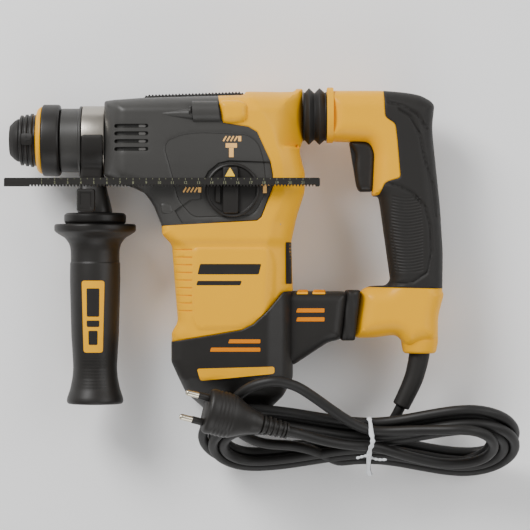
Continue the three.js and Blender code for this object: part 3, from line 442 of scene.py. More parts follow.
def linear(color: tuple) -> tuple:
    """Turns a display colour of 0 to 255 into linear light."""
    share = np.array(color, float) / 255
    light = np.where(share <= 0.04045, share / 12.92, ((share + 0.055) / 1.055) ** 2.4)
    return (*light.tolist(), 1.0)


@dataclass(frozen=True)
class Finish:
    """A material: its colour, gloss and surface grain.

    Attributes:
        name: name of the material.
        color: display colour of 0 to 255.
        roughness: mean roughness.
        metallic: 0 or 1.
        grain: grain size in millimetres.
        depth: grain depth in millimetres.
        mottle: share by which the colour varies.
        brushed: stretch of the grain along an axis, as scale factors.
        coat: weight of a clear coat.
        gloss: strength of its plain reflection, which a metal doesn't use.
    """

    name: str
    color: tuple
    roughness: float
    metallic: float = 0.0
    grain: float = 0.5
    depth: float = 0.02
    mottle: float = 0.06
    brushed: tuple = (1.0, 1.0, 1.0)
    coat: float = 0.0
    gloss: float = 0.35

    def material(self) -> bpy.types.Material:
        """Returns the material, made the first time that it is asked for."""
        known = bpy.data.materials.get(f"{self.name}_finish")
        return known or self._build()

    def _build(self) -> bpy.types.Material:
        """Colour and roughness follow a soft cloud, and faint scuffs move the roughness too; a fine grain gives
        the bump.
        """
        board = NodeBoard(f"{self.name}_finish")
        place = board.make("ShaderNodeTexCoord")[3]
        cloud = board.make("ShaderNodeTexNoise", {}, {"Vector": place, "Scale": CLOUD_SCALE, "Detail": 5.0})[0]
        stretched = board.make("ShaderNodeMapping", {}, {"Vector": place, "Scale": self.brushed})[0]
        grain = board.make("ShaderNodeTexNoise", {},
                           {"Vector": stretched, "Scale": 1 / (self.grain * MM), "Detail": 2.0})[0]
        scuff = board.make("ShaderNodeTexNoise", {},
                           {"Vector": place, "Scale": SCUFF_SCALE, "Detail": 6.0, "Roughness": 0.7})[0]
        base = linear(self.color)
        dark = tuple(c * (1 - self.mottle) for c in base[:3]) + (1.0,)
        light = tuple(min(c * (1 + self.mottle), 1.0) for c in base[:3]) + (1.0,)
        color = board.make("ShaderNodeMix", {"data_type": "RGBA"}, {0: cloud, 6: dark, 7: light})[2]
        mean = self.roughness - (SCUFF_SHARE + CLOUD_SHARE) / 2
        rough = scuff * SCUFF_SHARE + cloud * CLOUD_SHARE + mean
        bump = board.make("ShaderNodeBump", {}, {
            "Height": grain, "Distance": self.depth * MM, "Strength": 1.0})[0]
        shader = board.make("ShaderNodeBsdfPrincipled", {}, {
            "Base Color": color, "Roughness": rough, "Metallic": self.metallic,
            "Coat Weight": self.coat, "Specular IOR Level": METAL_GLOSS if self.metallic else self.gloss,
            "Normal": bump})[0]
        board.make("ShaderNodeOutputMaterial", {}, {"Surface": shader})
        return board.material


YELLOW = Finish("yellow_plastic", (242, 174, 0), 0.38, gloss=0.2, grain=0.55, depth=0.03, mottle=0.03)
BLACK = Finish("black_plastic", (33, 31, 29), 0.44, grain=0.5, depth=0.035, mottle=0.1)
GEAR_GREY = Finish("gear_housing_coat", (60, 59, 57), 0.42, grain=0.7, depth=0.04, mottle=0.08)
RUBBER = Finish("soft_rubber", (30, 28, 26), 0.6, grain=0.45, depth=0.05, mottle=0.1)
CABLE = Finish("cable_sheath", (30, 29, 28), 0.5, grain=1.6, depth=0.04, mottle=0.12)
BAND = Finish("band_steel", (176, 170, 160), 0.33, 1.0, grain=0.35, depth=0.02, brushed=(1.0, 0.06, 0.06))
STEEL = Finish("machined_steel", (150, 148, 145), 0.34, 1.0, grain=0.4, depth=0.015, brushed=(0.08, 1.0, 1.0))
CAST = Finish("cast_aluminium", (165, 165, 165), 0.5, 1.0, grain=0.8, depth=0.04)
COPPER = Finish("copper", (196, 120, 70), 0.36, 1.0, grain=0.4, depth=0.015)
NICKEL = Finish("plug_nickel", (214, 206, 186), 0.22, 1.0, grain=0.6, depth=0.008)
TIE = Finish("tie_white", (226, 229, 232), 0.45, grain=0.5, depth=0.02, mottle=0.04)
VENT = Finish("vent_opening", (222, 128, 0), 0.6, grain=0.6, depth=0.02, mottle=0.05, gloss=0.1)
ICON = Finish("icon_print", (246, 190, 110), 0.5, grain=0.5, depth=0.01, mottle=0.03)
POINTER = Finish("pointer_yellow", (255, 206, 60), 0.4, grain=0.5, depth=0.01, mottle=0.02)
SCALE = Finish("scale_print", (120, 122, 96), 0.6, grain=0.5, depth=0.01, mottle=0.1)


# ---- heights of the case ---------------------------------------------------------------------

@dataclass(frozen=True)
class Press:
    """An area that is pressed into a face, or raised from it.

    Attributes:
        loop: outline of the area.
        depth: how far it goes in, in millimetres; negative where it stands out.
        soft: width of its edge.
    """

    loop: np.ndarray | tuple
    depth: float
    soft: float = 0.5

    def line(self) -> np.ndarray:
        """Returns the outline as an array."""
        return np.asarray(self.loop, float)


def case_height(points: np.ndarray) -> np.ndarray:
    """Half the thickness of the main body: the width profile along y, narrowed at both ends of x.

    The rounded edge is a quarter circle of 9 mm that starts at the outline.
    """
    y, half = np.array(WIDTH_PROFILE, float).T
    height = np.interp(points[:, 1], y, half)
    front = 28 + 13 * smooth_step(points[:, 0], -104, -82)
    rear = np.where(points[:, 1] > -6, 41 - 18 * smooth_step(points[:, 0], 34, 60), 41)
    height = np.minimum(height, np.minimum(front, rear))
    return edge_round(points, height, np.array(BODY_OUTLINE, float), 9.0)


def facet(points: np.ndarray, line: tuple, slope: float) -> np.ndarray:
    """Gives the fall of a facet that starts at a line of (x, y) and grows away from it along x.

    The fall is half the slope times a sum: the distance past the line, the root of its square plus 2.2,
    and a dip of 1.4 at the line that fades over 4 mm. A negative slope falls towards -x.
    """
    x, y = np.array(sorted(line, key=lambda point: point[1]), float).T
    past = (points[:, 0] - np.interp(points[:, 1], y, x)) * np.sign(slope)
    return abs(slope) * 0.5 * (past + np.sqrt(past ** 2 + 2.2) - 1.4 * np.exp(-np.abs(past) / 4))


def yellow_height(points: np.ndarray) -> np.ndarray:
    """Lowers the case's height below the lip at y -77, and by the facets on both sides."""
    level = case_height(points) - 2.2 * smooth_step(-points[:, 1], 77, 83.5)
    level = level - np.clip(facet(points, REAR_FACET, 0.5), 0, 11)
    return level - np.clip(facet(points, FRONT_FACET, -0.32), 0, 6)


def foot_height(points: np.ndarray) -> np.ndarray:
    """Lowers the foot by two facets towards the arm."""
    level = case_height(points) - np.clip(facet(points, ((27, -230), (28, -118)), 0.4), 0, 9)
    return level - np.clip(facet(points, ((40, -230), (40, -118)), 0.5), 0, 5)


def edge_round(points: np.ndarray, height: np.ndarray, outline: np.ndarray, radius: float) -> np.ndarray:
    """Drops the height towards an outline along a quarter circle of the radius."""
    d = np.clip(distance(points, outline), 0, radius)
    return height - radius + np.sqrt(np.maximum(radius ** 2 - (radius - d) ** 2, 0))


def pressed(points: np.ndarray, height: np.ndarray, presses: list) -> np.ndarray:
    """Applies each press: its depth times a smooth step of the distance inside its outline."""
    for press in presses:
        loop = press.line()
        within = np.where(inside(points, loop), 1.0, -1.0) * distance(points, loop)
        height = height - press.depth * smooth_step(within, -press.soft * 0.2, press.soft)
    return height


def shell(name: str, outline: np.ndarray, height: object, spacing: float, keep: list = (), drop: list = (),
          presses: list = (), seam: float = 0.7, patches: list = ()) -> Blank:
    """Makes a rounded shell about the split plane.

    Args:
        name: name of the piece.
        outline: outline in the split plane.
        height: function from points to half the thickness.
        spacing: distance between its points.
        keep: regions outside which the shell stops.
        drop: regions inside which the shell stops.
        presses: features of the upper face.
        seam: depth of the groove along the regions.
        patches: pairs of an area's outline and a finer spacing.
    Returns:
        The blank.
    """
    regions = [np.asarray(r, float) for r in [*keep, *drop]]
    loops = [outline, *regions, *[grown(r, 0.9) for r in regions], *[grown(r, -0.9) for r in regions]]
    loops += [grown(outline, -1.2), grown(outline, -3.2), grown(outline, -6)]
    for press in presses:
        loops += [press.line(), grown(press.line(), -press.soft)]
    flat, faces = tiles(loops, outline, spacing, patches)
    centre = flat[faces].mean(1)
    wanted = inside(centre, outline)
    for region in keep:
        wanted &= inside(centre, np.asarray(region, float))
    for region in drop:
        wanted &= ~inside(centre, np.asarray(region, float))
    faces = faces[wanted]
    base = height(flat)
    for region in regions:
        base = base - seam * (1 - smooth_step(distance(flat, region), 0, 0.9))
    return slab(name, flat, faces, pressed(flat, base, list(presses)), -base)


def label(name: str, loop: np.ndarray, height: object, spacing: float = 1.5,
          rise: float = PRINT_RISE) -> Blank:
    """Makes a thin print or plate that follows the upper face over an outline."""
    flat, faces = tiles([loop], loop, spacing)
    faces = faces[inside(flat[faces].mean(1), loop)]
    level = height(flat)
    return slab(name, flat, faces, level + rise, level - PRINT_SINK)


def relief(name: str, loop: np.ndarray, height: object, spacing: float = 1.6, depth: float = 12) -> Blank:
    """Makes a feature that stands on the upper face only, down to a depth below its own top."""
    flat, faces = tiles([loop, grown(loop, -0.8), grown(loop, -2)], loop, spacing)
    faces = faces[inside(flat[faces].mean(1), loop)]
    level = height(flat)
    return slab(name, flat, faces, level, 0 * level + level.max() - depth)


def plate(name: str, loop: np.ndarray, insets: tuple, spacing: float, height: object, bottom: float) -> Blank:
    """Makes a slab between a height function and a flat bottom, with a row of points at each inset."""
    flat, faces = tiles([loop, *[grown(loop, -inset) for inset in insets]], loop, spacing)
    return slab(name, flat, faces, height(flat), 0 * flat[:, 0] + bottom)


def bar(a: tuple, b: tuple, width: float) -> np.ndarray:
    """Outlines a straight bar from one point to another."""
    p, q = np.array(a, float), np.array(b, float)
    side = np.array([-(q - p)[1], (q - p)[0]]) / np.linalg.norm(q - p) * width / 2
    return np.array([p - side, q - side, q + side, p + side])


# ---- sub-assemblies --------------------------------------------------------------------------

@dataclass
class MainCase:
    """The yellow shells, the dark gear housing with its neck, and the black base with its arm.

    Attributes:
        spacing: distance between points of the shells, in millimetres.
        slots: heights of the gear housing's vents.
        grooves: heights of the grooves on the front edge of the yellow shell.
        trim: yellow band on the foot.
        base_slots: ends along x, height and width of each vent mark on the foot and arm.
        panel: raised panel of the yellow shell.
        panel_rise: how far the panel stands out.
        shelf: sunk area round the mode dial.
        cover: raised cover inside a groove.
        screw_sink: how far the shell screws lie below the case.
    """

    spacing: float = 2.4
    slots: tuple = (9.3, 3.5, -2.5, -8.5)
    grooves: tuple = tuple(-86.0 - 5.9 * i for i in range(9))
    trim: tuple = ((-26.5, -177.6), (33.2, -176), (33.2, -181.4), (12, -183.5), (-23.8, -187))
    base_slots: tuple = ((50, 72, -133, 3.2), (50, 72, -139.9, 3.2), (-2.4, 22.3, -156.5, 3.0),
                         (-16.5, 22.3, -162.9, 3.1), (50.4, 59.2, -118.7, 3.4), (62.6, 72.7, -118.7, 3.4))
    panel: tuple = ((-30, -84), (30, -84), (34, -96), (33, -122), (24, -138), (8, -146), (-26, -148),
                    (-30, -140))
    panel_rise: float = 0.9
    screw_sink: float = 4.5
    shelf: tuple = ((-2, -17.2), (40, -18.6), (42, -66), (-38, -66), (-44, -56), (-32, -47.5), (-24, -46.6),
                    (-23.6, -36), (-18, -25.5), (-10, -19))
    cover: tuple = ((-46.3, -29.2), (-52.4, -8.2), (-49.7, -1.5), (-38.2, 3.3), (-23.3, 4.9), (13.2, 3.3),
                    (22, -4), (26, -18), (28, -40), (18, -60), (-30, -62), (-42, -48))

    def outline(self) -> np.ndarray:
        """Returns the body outline with its corners rounded."""
        return rounded(BODY_OUTLINE, 3.0)

    def base_outline(self) -> np.ndarray:
        """Returns the arm's outline with its corners rounded."""
        return rounded(ARM_OUTLINE, 4.0)

    def build(self) -> None:
        """Builds every piece of the case."""
        self.yellow()
        self.nose()
        self.base()
        self.strip()
        self.screws()
        self.prints()

    def yellow(self) -> None:
        """Builds the yellow shell with its front grooves, raised panel and screw tower."""
        presses = [Press(rounded(self.panel, 5), -self.panel_rise, 1.2)]
        presses += [Press(slot_loop(-52, -30, y, 1.3), 1.0, 0.5) for y in self.grooves]
        presses.append(Press(((41.2, -79), (47.4, -79), (47.4, -113.5), (41.2, -113.5)), 0.5, 0.4))
        case = shell("case_yellow", self.outline(), yellow_height, self.spacing,
                     drop=[NOSE_REGION, BASE_REGION], presses=presses)
        case.piece("housing", YELLOW, ("main_shell_left", "main_shell_right"), "yellow_housing")
        tower = rounded([(-10.2, 29.2), (6, 29.2), (12.8, 26), (12.8, 14), (6, 10.6), (-7.4, 10.6)], 5)
        relief("screw_tower_yellow", tower, lambda p: edge_round(p, 0 * p[:, 0] + 44.6, tower, 6)).piece(
            "housing", YELLOW, slot="yellow_housing")

    def screws(self) -> None:
        """Builds the four shell screws below the case, each with a round recess in its head."""
        for number, ((x, y), height) in enumerate(self.screw_places(), 1):
            top = float(height(np.array([[x, y]]))[0]) - self.screw_sink
            profile = [(0.2, top - 1.2), (1.2, top), (3.2, top), (3.4, top - 2.4), (1.9, top - 3),
                       (1.9, top - 26), (0.2, top - 27)]
            rows = turned(profile, "Z", (x, y), 32, 0.3)
            Blank(f"shell_screw_{number}_seated").grid(rows, caps=False).piece(
                "housing", STEEL, (f"shell_screw_{number}",), "machined_steel")

    def screw_places(self) -> list:
        """Pairs each screw's place with the height of the case there."""
        return [((44, 24), yellow_height), ((38, -104), yellow_height), ((-37.6, -108), yellow_height),
                ((36, -176), foot_height)]

    def nose(self) -> None:
        """Builds the gear housing: the shell part, the neck that carries the band, and the screw boss."""
        presses = [Press(slot_loop(-90.3, -63.8, y, 3.2), 3.4, 0.5) for y in self.slots]
        cover = rounded(self.cover, 6)
        presses += [Press(cover, 0.7, 1.0), Press(grown(cover, -0.9), -0.7, 0.4), Press(self.shelf, 1.7, 0.9)]
        blank = shell("gear_case", self.outline(), case_height, self.spacing, keep=[NOSE_REGION],
                      presses=presses)
        for number, y in enumerate(self.slots, 1):
            glint = slot_loop(-71.5, -66.0, y, 2.0)
            bright = label(f"vent_glint_{number}", glint, lambda p: case_height(p) - 2.9, 1.0, 0.1)
            bright.piece("housing", STEEL)
        neck = [(12, -134.2), (24, -134.2), (25, -133.2), (25, -119.6), (26.9, -119), (26.9, -117.2),
                (24.0, -117.0), (24.0, -98), (12, -98)]
        blank.grid(turned(neck, "X", (0, 0)), caps=False)
        blank.piece("housing", GEAR_GREY, ("gear_housing",), "gear_housing")
        boss = rounded([(-30.4, 28.5), (-10.6, 28.5), (-8.4, 11.9), (-29.4, 11.9)], 1.0)
        rise = lambda p: 37.6 + np.sqrt(np.maximum(8.6 ** 2 - (p[:, 1] - 20.2) ** 2, 0.1))
        relief("screw_tower_dark", boss, rise).piece("housing", GEAR_GREY, slot="gear_housing")
        rows = turned([(0.4, 0), (4.2, 0), (4.4, -1), (4.2, -2.4), (0.4, -2.6)], "X", (20.3, 0), 36, 0.4)
        rows = rows + np.array([-30.2, 0, 40.2])
        Blank("tower_screw").grid(rows, caps=False).piece("housing", BLACK)
        spike = rounded([(-66, 18.2), (-34, 22.6), (-30, 22.8), (-30, 14.6), (-34, 14.8)], 1.0)
        ridge = lambda p: 39.4 + np.sqrt(np.maximum((0.13 * (p[:, 0] + 66)) ** 2 - (p[:, 1] - 18.6) ** 2, 0))
        relief("screw_fairing", spike, ridge, 1.2, 8).piece("housing", GEAR_GREY, slot="gear_housing")
        small = rounded([(-55, -50.5), (-52, -49.2), (-46, -50.5), (-44.3, -57), (-47, -59), (-54, -58)], 2)
        relief("gear_boss", small, lambda p: edge_round(p, 0 * p[:, 0] + 41.8, small, 2.4), 1.2).piece(
            "housing", GEAR_GREY, slot="gear_housing")

    def base(self) -> None:
        """Builds the black foot and its arm, with the lit vent slots and the yellow trim."""
        foot = shell("foot", self.outline(), foot_height, self.spacing, keep=[BASE_REGION])
        foot.piece("housing", BLACK, ("base_shell_left", "base_shell_right"), "black_plastic")
        outline = self.base_outline()
        rise = lambda p: edge_round(p, 27 - 0.05 * (p[:, 0] - 40), outline, 8)
        arm = shell("arm", outline, rise, 2.2)
        arm.piece("housing", BLACK, slot="black_plastic")
        for number, (x0, x1, y, width) in enumerate(self.base_slots, 1):
            low, high = y - width / 2, y + width / 2
            loop = rounded([(x0, low), (x1, low), (x1, high), (x0 + 1, high)], 0.7)
            level = rise if x0 > 45 else foot_height
            glow = YELLOW if y > -120 else VENT
            label(f"vent_mark_{number}", loop, level, 1.0, 0.15).piece("housing", glow, slot="yellow_housing")
        label("foot_trim", rounded(self.trim, 2), foot_height, 1.8, 0.8).piece(
            "housing", YELLOW, slot="yellow_housing")

    def strip(self) -> None:
        """Builds the ribbed rubber strip on top: a comb of ribs 2.6 mm apart over a flat band."""
        x = np.linspace(-69.2, 9.8, 260)
        top = np.interp(x, (-69.2, 9.8), (34.6, 37.2)) + 0.55 * np.sin(x / 2.6 * 2 * math.pi)
        ends = np.minimum(1, np.minimum(x + 69.2, 9.8 - x) / 4)
        top = top - 2.2 * (1 - np.sqrt(np.clip(ends, 0, 1)))
        low = np.interp(x, (-70.6, 9.4), (31.0, 33.4)) - 1.2
        rows = []
        for z, drop in ((-17, 1.6), (-15.5, 0.4), (-12, 0), (12, 0), (15.5, 0.4), (17, 1.6)):
            rows.append(np.stack([x, np.maximum(top - drop, low + 0.3), 0 * x + z], 1))
        upper = np.array(rows)
        lower = upper.copy()
        lower[..., 1] = low
        ring = np.concatenate([upper, lower[::-1]]).transpose(1, 0, 2)
        Blank("top_pad").grid(ring).piece("housing", RUBBER, ("top_strip",), "rubber", sharp=60)

    def prints(self) -> None:
        """Builds the rating plate, the panel's plain bars and the mode signs."""
        label("rating_plate", rounded([(42.0, -80.2), (46.4, -80.2), (46.8, -112.4), (42.2, -112.4)], 0.6),
              yellow_height, 1.5, 0.05).piece("housing", BLACK)
        face = lambda p: yellow_height(p) + self.panel_rise
        bars = {"panel_bar_wide": [(-24, -97), (23, -97), (21, -105), (-26, -105)],
                "panel_bar_slim": [(-26, -110), (8, -110), (7, -113.4), (-27, -113.4)]}
        for name, corners in bars.items():
            label(name, rounded(corners, 1.0), face, 1.5).piece("housing", BLACK)
        ModeSigns().build()


@dataclass
class ModeSigns:
    """The printed signs round the mode dial: a spiral bit for drilling and a mallet for hammering.

    Attributes:
        drills: centre and length of each spiral bit.
        mallets: centre and scale of each mallet.
    """

    drills: tuple = ((0.2, -0.6, 12.4), (-30.6, -40.0, 12.4))
    mallets: tuple = ((0.0, -9.6, 1.45), (25.8, -38.2, 1.2))

    def build(self) -> None:
        """Builds all signs."""
        for number, (x, y, length) in enumerate(self.drills, 1):
            self.drill(f"sign_drill_{number}", x, y, length)
        for number, (x, y, scale) in enumerate(self.mallets, 1):
            loop = np.array([(-3, 1.4), (3, 1.4), (3, 3.8), (-3, 3.8)]) * scale + (x, y)
            label(f"sign_mallet_{number}", loop, case_height, 1.0).piece("housing", ICON)
            stem = np.array([(-1.2, -3.6), (1.2, -3.6), (1.2, 1.3), (-1.2, 1.3)]) * scale + (x, y)
            label(f"sign_stem_{number}", stem, case_height, 1.0).piece("housing", ICON)

    def drill(self, name: str, x: float, y: float, length: float) -> None:
        """Builds one spiral bit: four slanted flutes, then a square block at their end."""
        steps = [-length / 2 + length * (k + 0.3) / 4.4 for k in range(4)]
        loops = [bar((s - 1.0, -1.9), (s + 1.3, 1.9), 1.15) + (x, y) for s in steps]
        block = np.array([(-1.2, -2.0), (1.2, -2.0), (1.2, 2.0), (-1.2, 2.0)])
        loops.append(block + (length / 2, 0) + (x, y))
        blank = Blank(name)
        for loop in loops:
            part = label(name, loop, case_height, 1.0)
            blank.add(part.points[0], part.faces)
        blank.piece("housing", ICON)


@dataclass
class ModeDial:
    """The round mode selector with its grip bar, pointer and lock button.

    Attributes:
        centre: place of its axis.
        face: height of the disc's face above the split plane.
        radius: radius of the disc.
        top: height of the bar's top.
    """

    centre: tuple = (0.7, -40.0)
    face: float = 42.6
    radius: float = 20.8
    top: float = 45.8

    def build(self) -> None:
        """Builds the disc with its collar, then the bar, pointer and button."""
        x, y = self.centre
        r, f = self.radius, self.face
        profile = [(0.3, 37.6), (r, 37.6), (r, f - 0.4), (r - 1.2, f + 0.4), (18.6, f + 0.4), (18.2, f - 0.8),
                   (0.3, f - 0.8)]
        Blank("dial_disc").grid(turned(profile, "Z", (x, y), 96, 0.4), caps=False).piece(
            "dial", BLACK, ("mode_dial",), "black_plastic")
        grip = rounded([(-6.8, -22), (5.6, -22), (6.0, -40), (5.6, -58.4), (-6.8, -58.4), (-7.0, -40)], 2.2)
        rise = lambda p: edge_round(p, self.top - 0.003 * (p[:, 1] - y) ** 2, grip, 1.6)
        plate("dial_bar", grip, (0.8, 2), 1.4, rise, f - 1.5).piece(
            "dial", BLACK, slot="black_plastic")
        arrow = rounded([(-4.9, -29.8), (3.1, -29.8), (-0.9, -22.8)], 0.7)
        label("dial_pointer", arrow, rise, 1.0, 0.2).piece("dial", POINTER)
        button = rounded([(-12.4, -30.5), (-8.0, -29.5), (-8.0, -50.5), (-12.4, -49.5)], 1.6)
        rise = lambda p: edge_round(p, 0 * p[:, 0] + f + 1.6, button, 0.9)
        plate("dial_button", button, (0.6,), 1.2, rise, f - 1.0).piece(
            "dial_button", BLACK, ("dial_lock_button",), "black_plastic")


@dataclass
class Chuck:
    """Everything that turns on the tool's nose, about the x axis.

    Attributes:
        ribs: places of the rings on the locking sleeve.
    """

    ribs: tuple = (-164.6, -160.6, -156.6)

    def build(self) -> None:
        """Builds the dust cap, the ribbed sleeve with its arrow plaque, the yellow ring and the collar."""
        cap = [(5.4, -168), (5.4, -173.6), (8, -174.6), (11.6, -174.2), (15.2, -170.6), (16.8, -168),
               (16.8, -166.4), (9, -166.4)]
        Blank("nose_cap").grid(turned(cap, "X", (0, 0)), caps=False).piece(
            "spindle_set", RUBBER, ("dust_cap",), "rubber")
        sleeve = [(16.6, -153.2), (16.6, -166), (18.2, -166.1)]
        for x in self.ribs:
            r = 18.6 + (x + 166.2) * 0.16
            sleeve += [(r + 0.9, x - 1.0), (r + 0.9, x + 0.9), (r - 0.2, x + 1.3), (r - 0.2, x + 2.4)]
        sleeve += [(20.4, -153.4)]
        Blank("pull_sleeve").grid(turned(sleeve, "X", (0, 0), 96, 0.4), caps=False).piece(
            "sleeve", BLACK, ("locking_sleeve",), "black_plastic")
        ring = [(16.8, -153.1), (21.2, -153.1), (24.2, -152.2), (26.0, -150.4), (26.4, -148.6), (16.8, -148.6)]
        Blank("colour_ring").grid(turned(ring, "X", (0, 0)), caps=False).piece(
            "sleeve", YELLOW, ("sleeve_ring",), "sleeve_ring")
        collar = [(17.2, -141.4), (26.9, -141.4), (26.9, -148.0), (27.6, -148.2), (28.1, -147.2), (28.1, -136),
                  (27.2, -134.5), (17.2, -134.5)]
        Blank("turning_collar").grid(turned(collar, "X", (0, 0)), caps=False).piece(
            "collar", BLACK, ("chuck_collar",), "black_plastic")
        self.plaque()

    def plaque(self) -> None:
        """Builds the small raised plate on the sleeve with an arrow that points to the front."""
        plate = rounded([(-163.6, -4.6), (-155.4, -4.6), (-155.4, 4.6), (-163.6, 4.6)], 1.4)
        arch = lambda p: np.sqrt(np.maximum(20.9 ** 2 - p[:, 1] ** 2, 1)) + 0.12 * (p[:, 0] + 160)
        label("sleeve_plate", plate, arch, 1.0, 0.5).piece("sleeve", BLACK)
        arrow = np.array([(-162.6, 0), (-159.6, 2.8), (-159.6, 1.0), (-156.4, 1.0), (-156.4, -1.0),
                          (-159.6, -1.0), (-159.6, -2.8)])
        label("sleeve_arrow", arrow, lambda p: arch(p) + 0.5, 0.8, 0.35).piece("sleeve", RUBBER)


@dataclass
class SideHandle:
    """The auxiliary handle: steel band, clamp, grip, latch and depth rod.

    Attributes:
        axis: x of the grip's axis.
        rod_top: height of the rod's face above the split plane.
        rod: ends of the rod along x.
        rod_y: middle of the rod.
        tooth: pitch of the rod's teeth.
        numbers: the first centimetre mark, its place, and how many follow.
    """

    axis: float = -107.5
    rod_top: float = 52.3
    rod: tuple = (-173.8, 67.9)
    rod_y: float = -34.4
    tooth: float = 2.5
    numbers: tuple = (1, -145.0, 21)

    def build(self) -> None:
        """Builds every piece of the handle."""
        self.band()
        self.clamp()
        self.grip()
        self.latch()
        self.depth_rod()

    def band(self) -> None:
        """Builds the steel band: a ring round the neck with rolled edges."""
        ring = [(25.9, -116.6), (27.0, -116.6), (27.0, -99.3), (25.9, -99.3)]
        Blank("clamp_band").grid(turned(ring, "X", (0, 0), 128, 0.3), caps=False).piece(
            "band_set", BAND, ("steel_band",), "band_steel")

    def clamp(self) -> None:
        """Builds the clamp's neck, which widens into a disc, and the tab that holds the band."""
        rows = []
        sections = ((-26, 7.2, 10.0, -108.5), (-29, 9.6, 13.0, -109.6), (-40.7, 11.4, 17.5, -109.3),
                    (-49, 12.3, 19.5, -108), (-54.9, 13.2, 20.5, -107.6), (-56.6, 13.2, 20.5, -107.5))
        for y, hx, hz, cx in sections:
            rows.append(self.oval(cx, y, hx, hz, 0.55))
        blank = Blank("clamp_neck").grid(np.array(rows))
        disc_profile = [(0.4, -57.0), (22.4, -57.0), (24.3, -58.6), (24.3, -63.6), (23.2, -65.4), (0.4, -65.4)]
        blank.grid(turned(disc_profile, "Y", (self.axis, 0), 96, 0.8), caps=False)
        blank.piece("side_clamp_set", BLACK, ("side_clamp",), "black_plastic")
        tab = rounded([(-116.4, 3.2), (-99.6, 3.2), (-99.6, -12), (-101, -31), (-118.5, -31), (-116.6, -12)], 2)
        arch = lambda p: edge_round(p, np.sqrt(np.maximum(30.0 ** 2 - p[:, 1] ** 2, 20.5 ** 2)), tab, 1.6)
        plate("clamp_tab", tab, (0.7, 1.8), 1.6, arch, 13).piece(
            "side_clamp_set", BLACK, slot="black_plastic")

    def oval(self, x: float, y: float, hx: float, hz: float, power: float) -> np.ndarray:
        """Gives a rounded box section: signed powers of the cosine and sine."""
        turn = np.linspace(0, 2 * math.pi, 64, endpoint=False)
        c, s = np.cos(turn), np.sin(turn)
        return np.stack([x + hx * np.sign(c) * np.abs(c) ** power, y + 0 * c,
                         hz * np.sign(s) * np.abs(s) ** power], 1)

    def grip(self) -> None:
        """Builds the grip: flange, waist, swell and end bead, then its coloured panel and bars."""
        shape = [(0.4, -65.7), (31.2, -65.7), (32.1, -67.0), (32.0, -71.4), (29.0, -73.4), (23.6, -76.6),
                 (20.4, -81), (19.2, -86), (19.1, -95.4), (19.7, -96.4), (19.8, -110), (19.2, -135),
                 (18.7, -152.8), (17.6, -170), (17.2, -178.4), (17.8, -186), (19.6, -195), (22.0, -202),
                 (22.3, -205), (21.0, -206.7), (0.4, -206.8)]
        Blank("side_grip_body").grid(turned(shape, "Y", (self.axis, 0), 112, 1.6), caps=False).piece(
            "side_grip_set", BLACK, ("side_grip",), "rubber")
        y, r = np.array([(p[1], p[0]) for p in shape[8:16]][::-1], float).T
        arch = lambda p: np.sqrt(np.maximum(np.interp(p[:, 1], y, r) ** 2 - (p[:, 0] - self.axis) ** 2, 1))
        panel = rounded([(-116.8, -110), (-99.0, -110), (-100.4, -166), (-115.4, -166)], 2.2)
        label("grip_panel", panel, arch, 1.4, 0.25).piece("side_grip_set", YELLOW)
        marks = ((-116, -138, 5.0), (-141, -146, 5.0), (-149, -160, 3.6))
        for number, (top, low, width) in enumerate(marks, 1):
            mark = rounded([(-107.9 - width, top), (-107.9 + width, top), (-107.9 + width * 0.96, low),
                            (-107.9 - width * 0.96, low)], 1.0)
            label(f"grip_mark_{number}", mark, lambda p: arch(p) + 0.25, 1.2).piece("side_grip_set", BLACK)
        for number in range(9):
            top = -172.0 - 2.6 * number
            pad = slot_loop(-117, -98, top, 1.3)
            label(f"grip_rib_{number + 1}", pad, lambda p: np.sqrt(np.maximum(
                np.interp(p[:, 1], (-206, -195, -186, -178.4, -170), (22.2, 19.6, 17.8, 17.2, 17.6)) ** 2
                - (p[:, 0] - self.axis) ** 2, 1)), 1.0, 0.35).piece("side_grip_set", BLACK)

    def latch(self) -> None:
        """Builds the rod's latch: a rounded key with a raised rim round a shallow hollow."""
        key = rounded([(-118.4, -39.4), (-104.4, -39.4), (-104.4, -56), (-107, -57.4), (-116, -57.4),
                       (-118.4, -56)], 2)
        rise = lambda p: edge_round(p, 0 * p[:, 0] + 52.0, key, 1.4)
        hollow = Press(grown(key, -2.6), 0.9, 0.8)
        loops = [key, grown(key, -0.6), grown(key, -1.5), hollow.line(), grown(hollow.line(), -0.8)]
        flat, faces = tiles(loops, key, 1.5)
        slab("latch_key", flat, faces, pressed(flat, rise(flat), [hollow]), 0 * flat[:, 0] + 44.5).piece(
            "latch", BLACK, ("rod_latch",), "black_plastic")

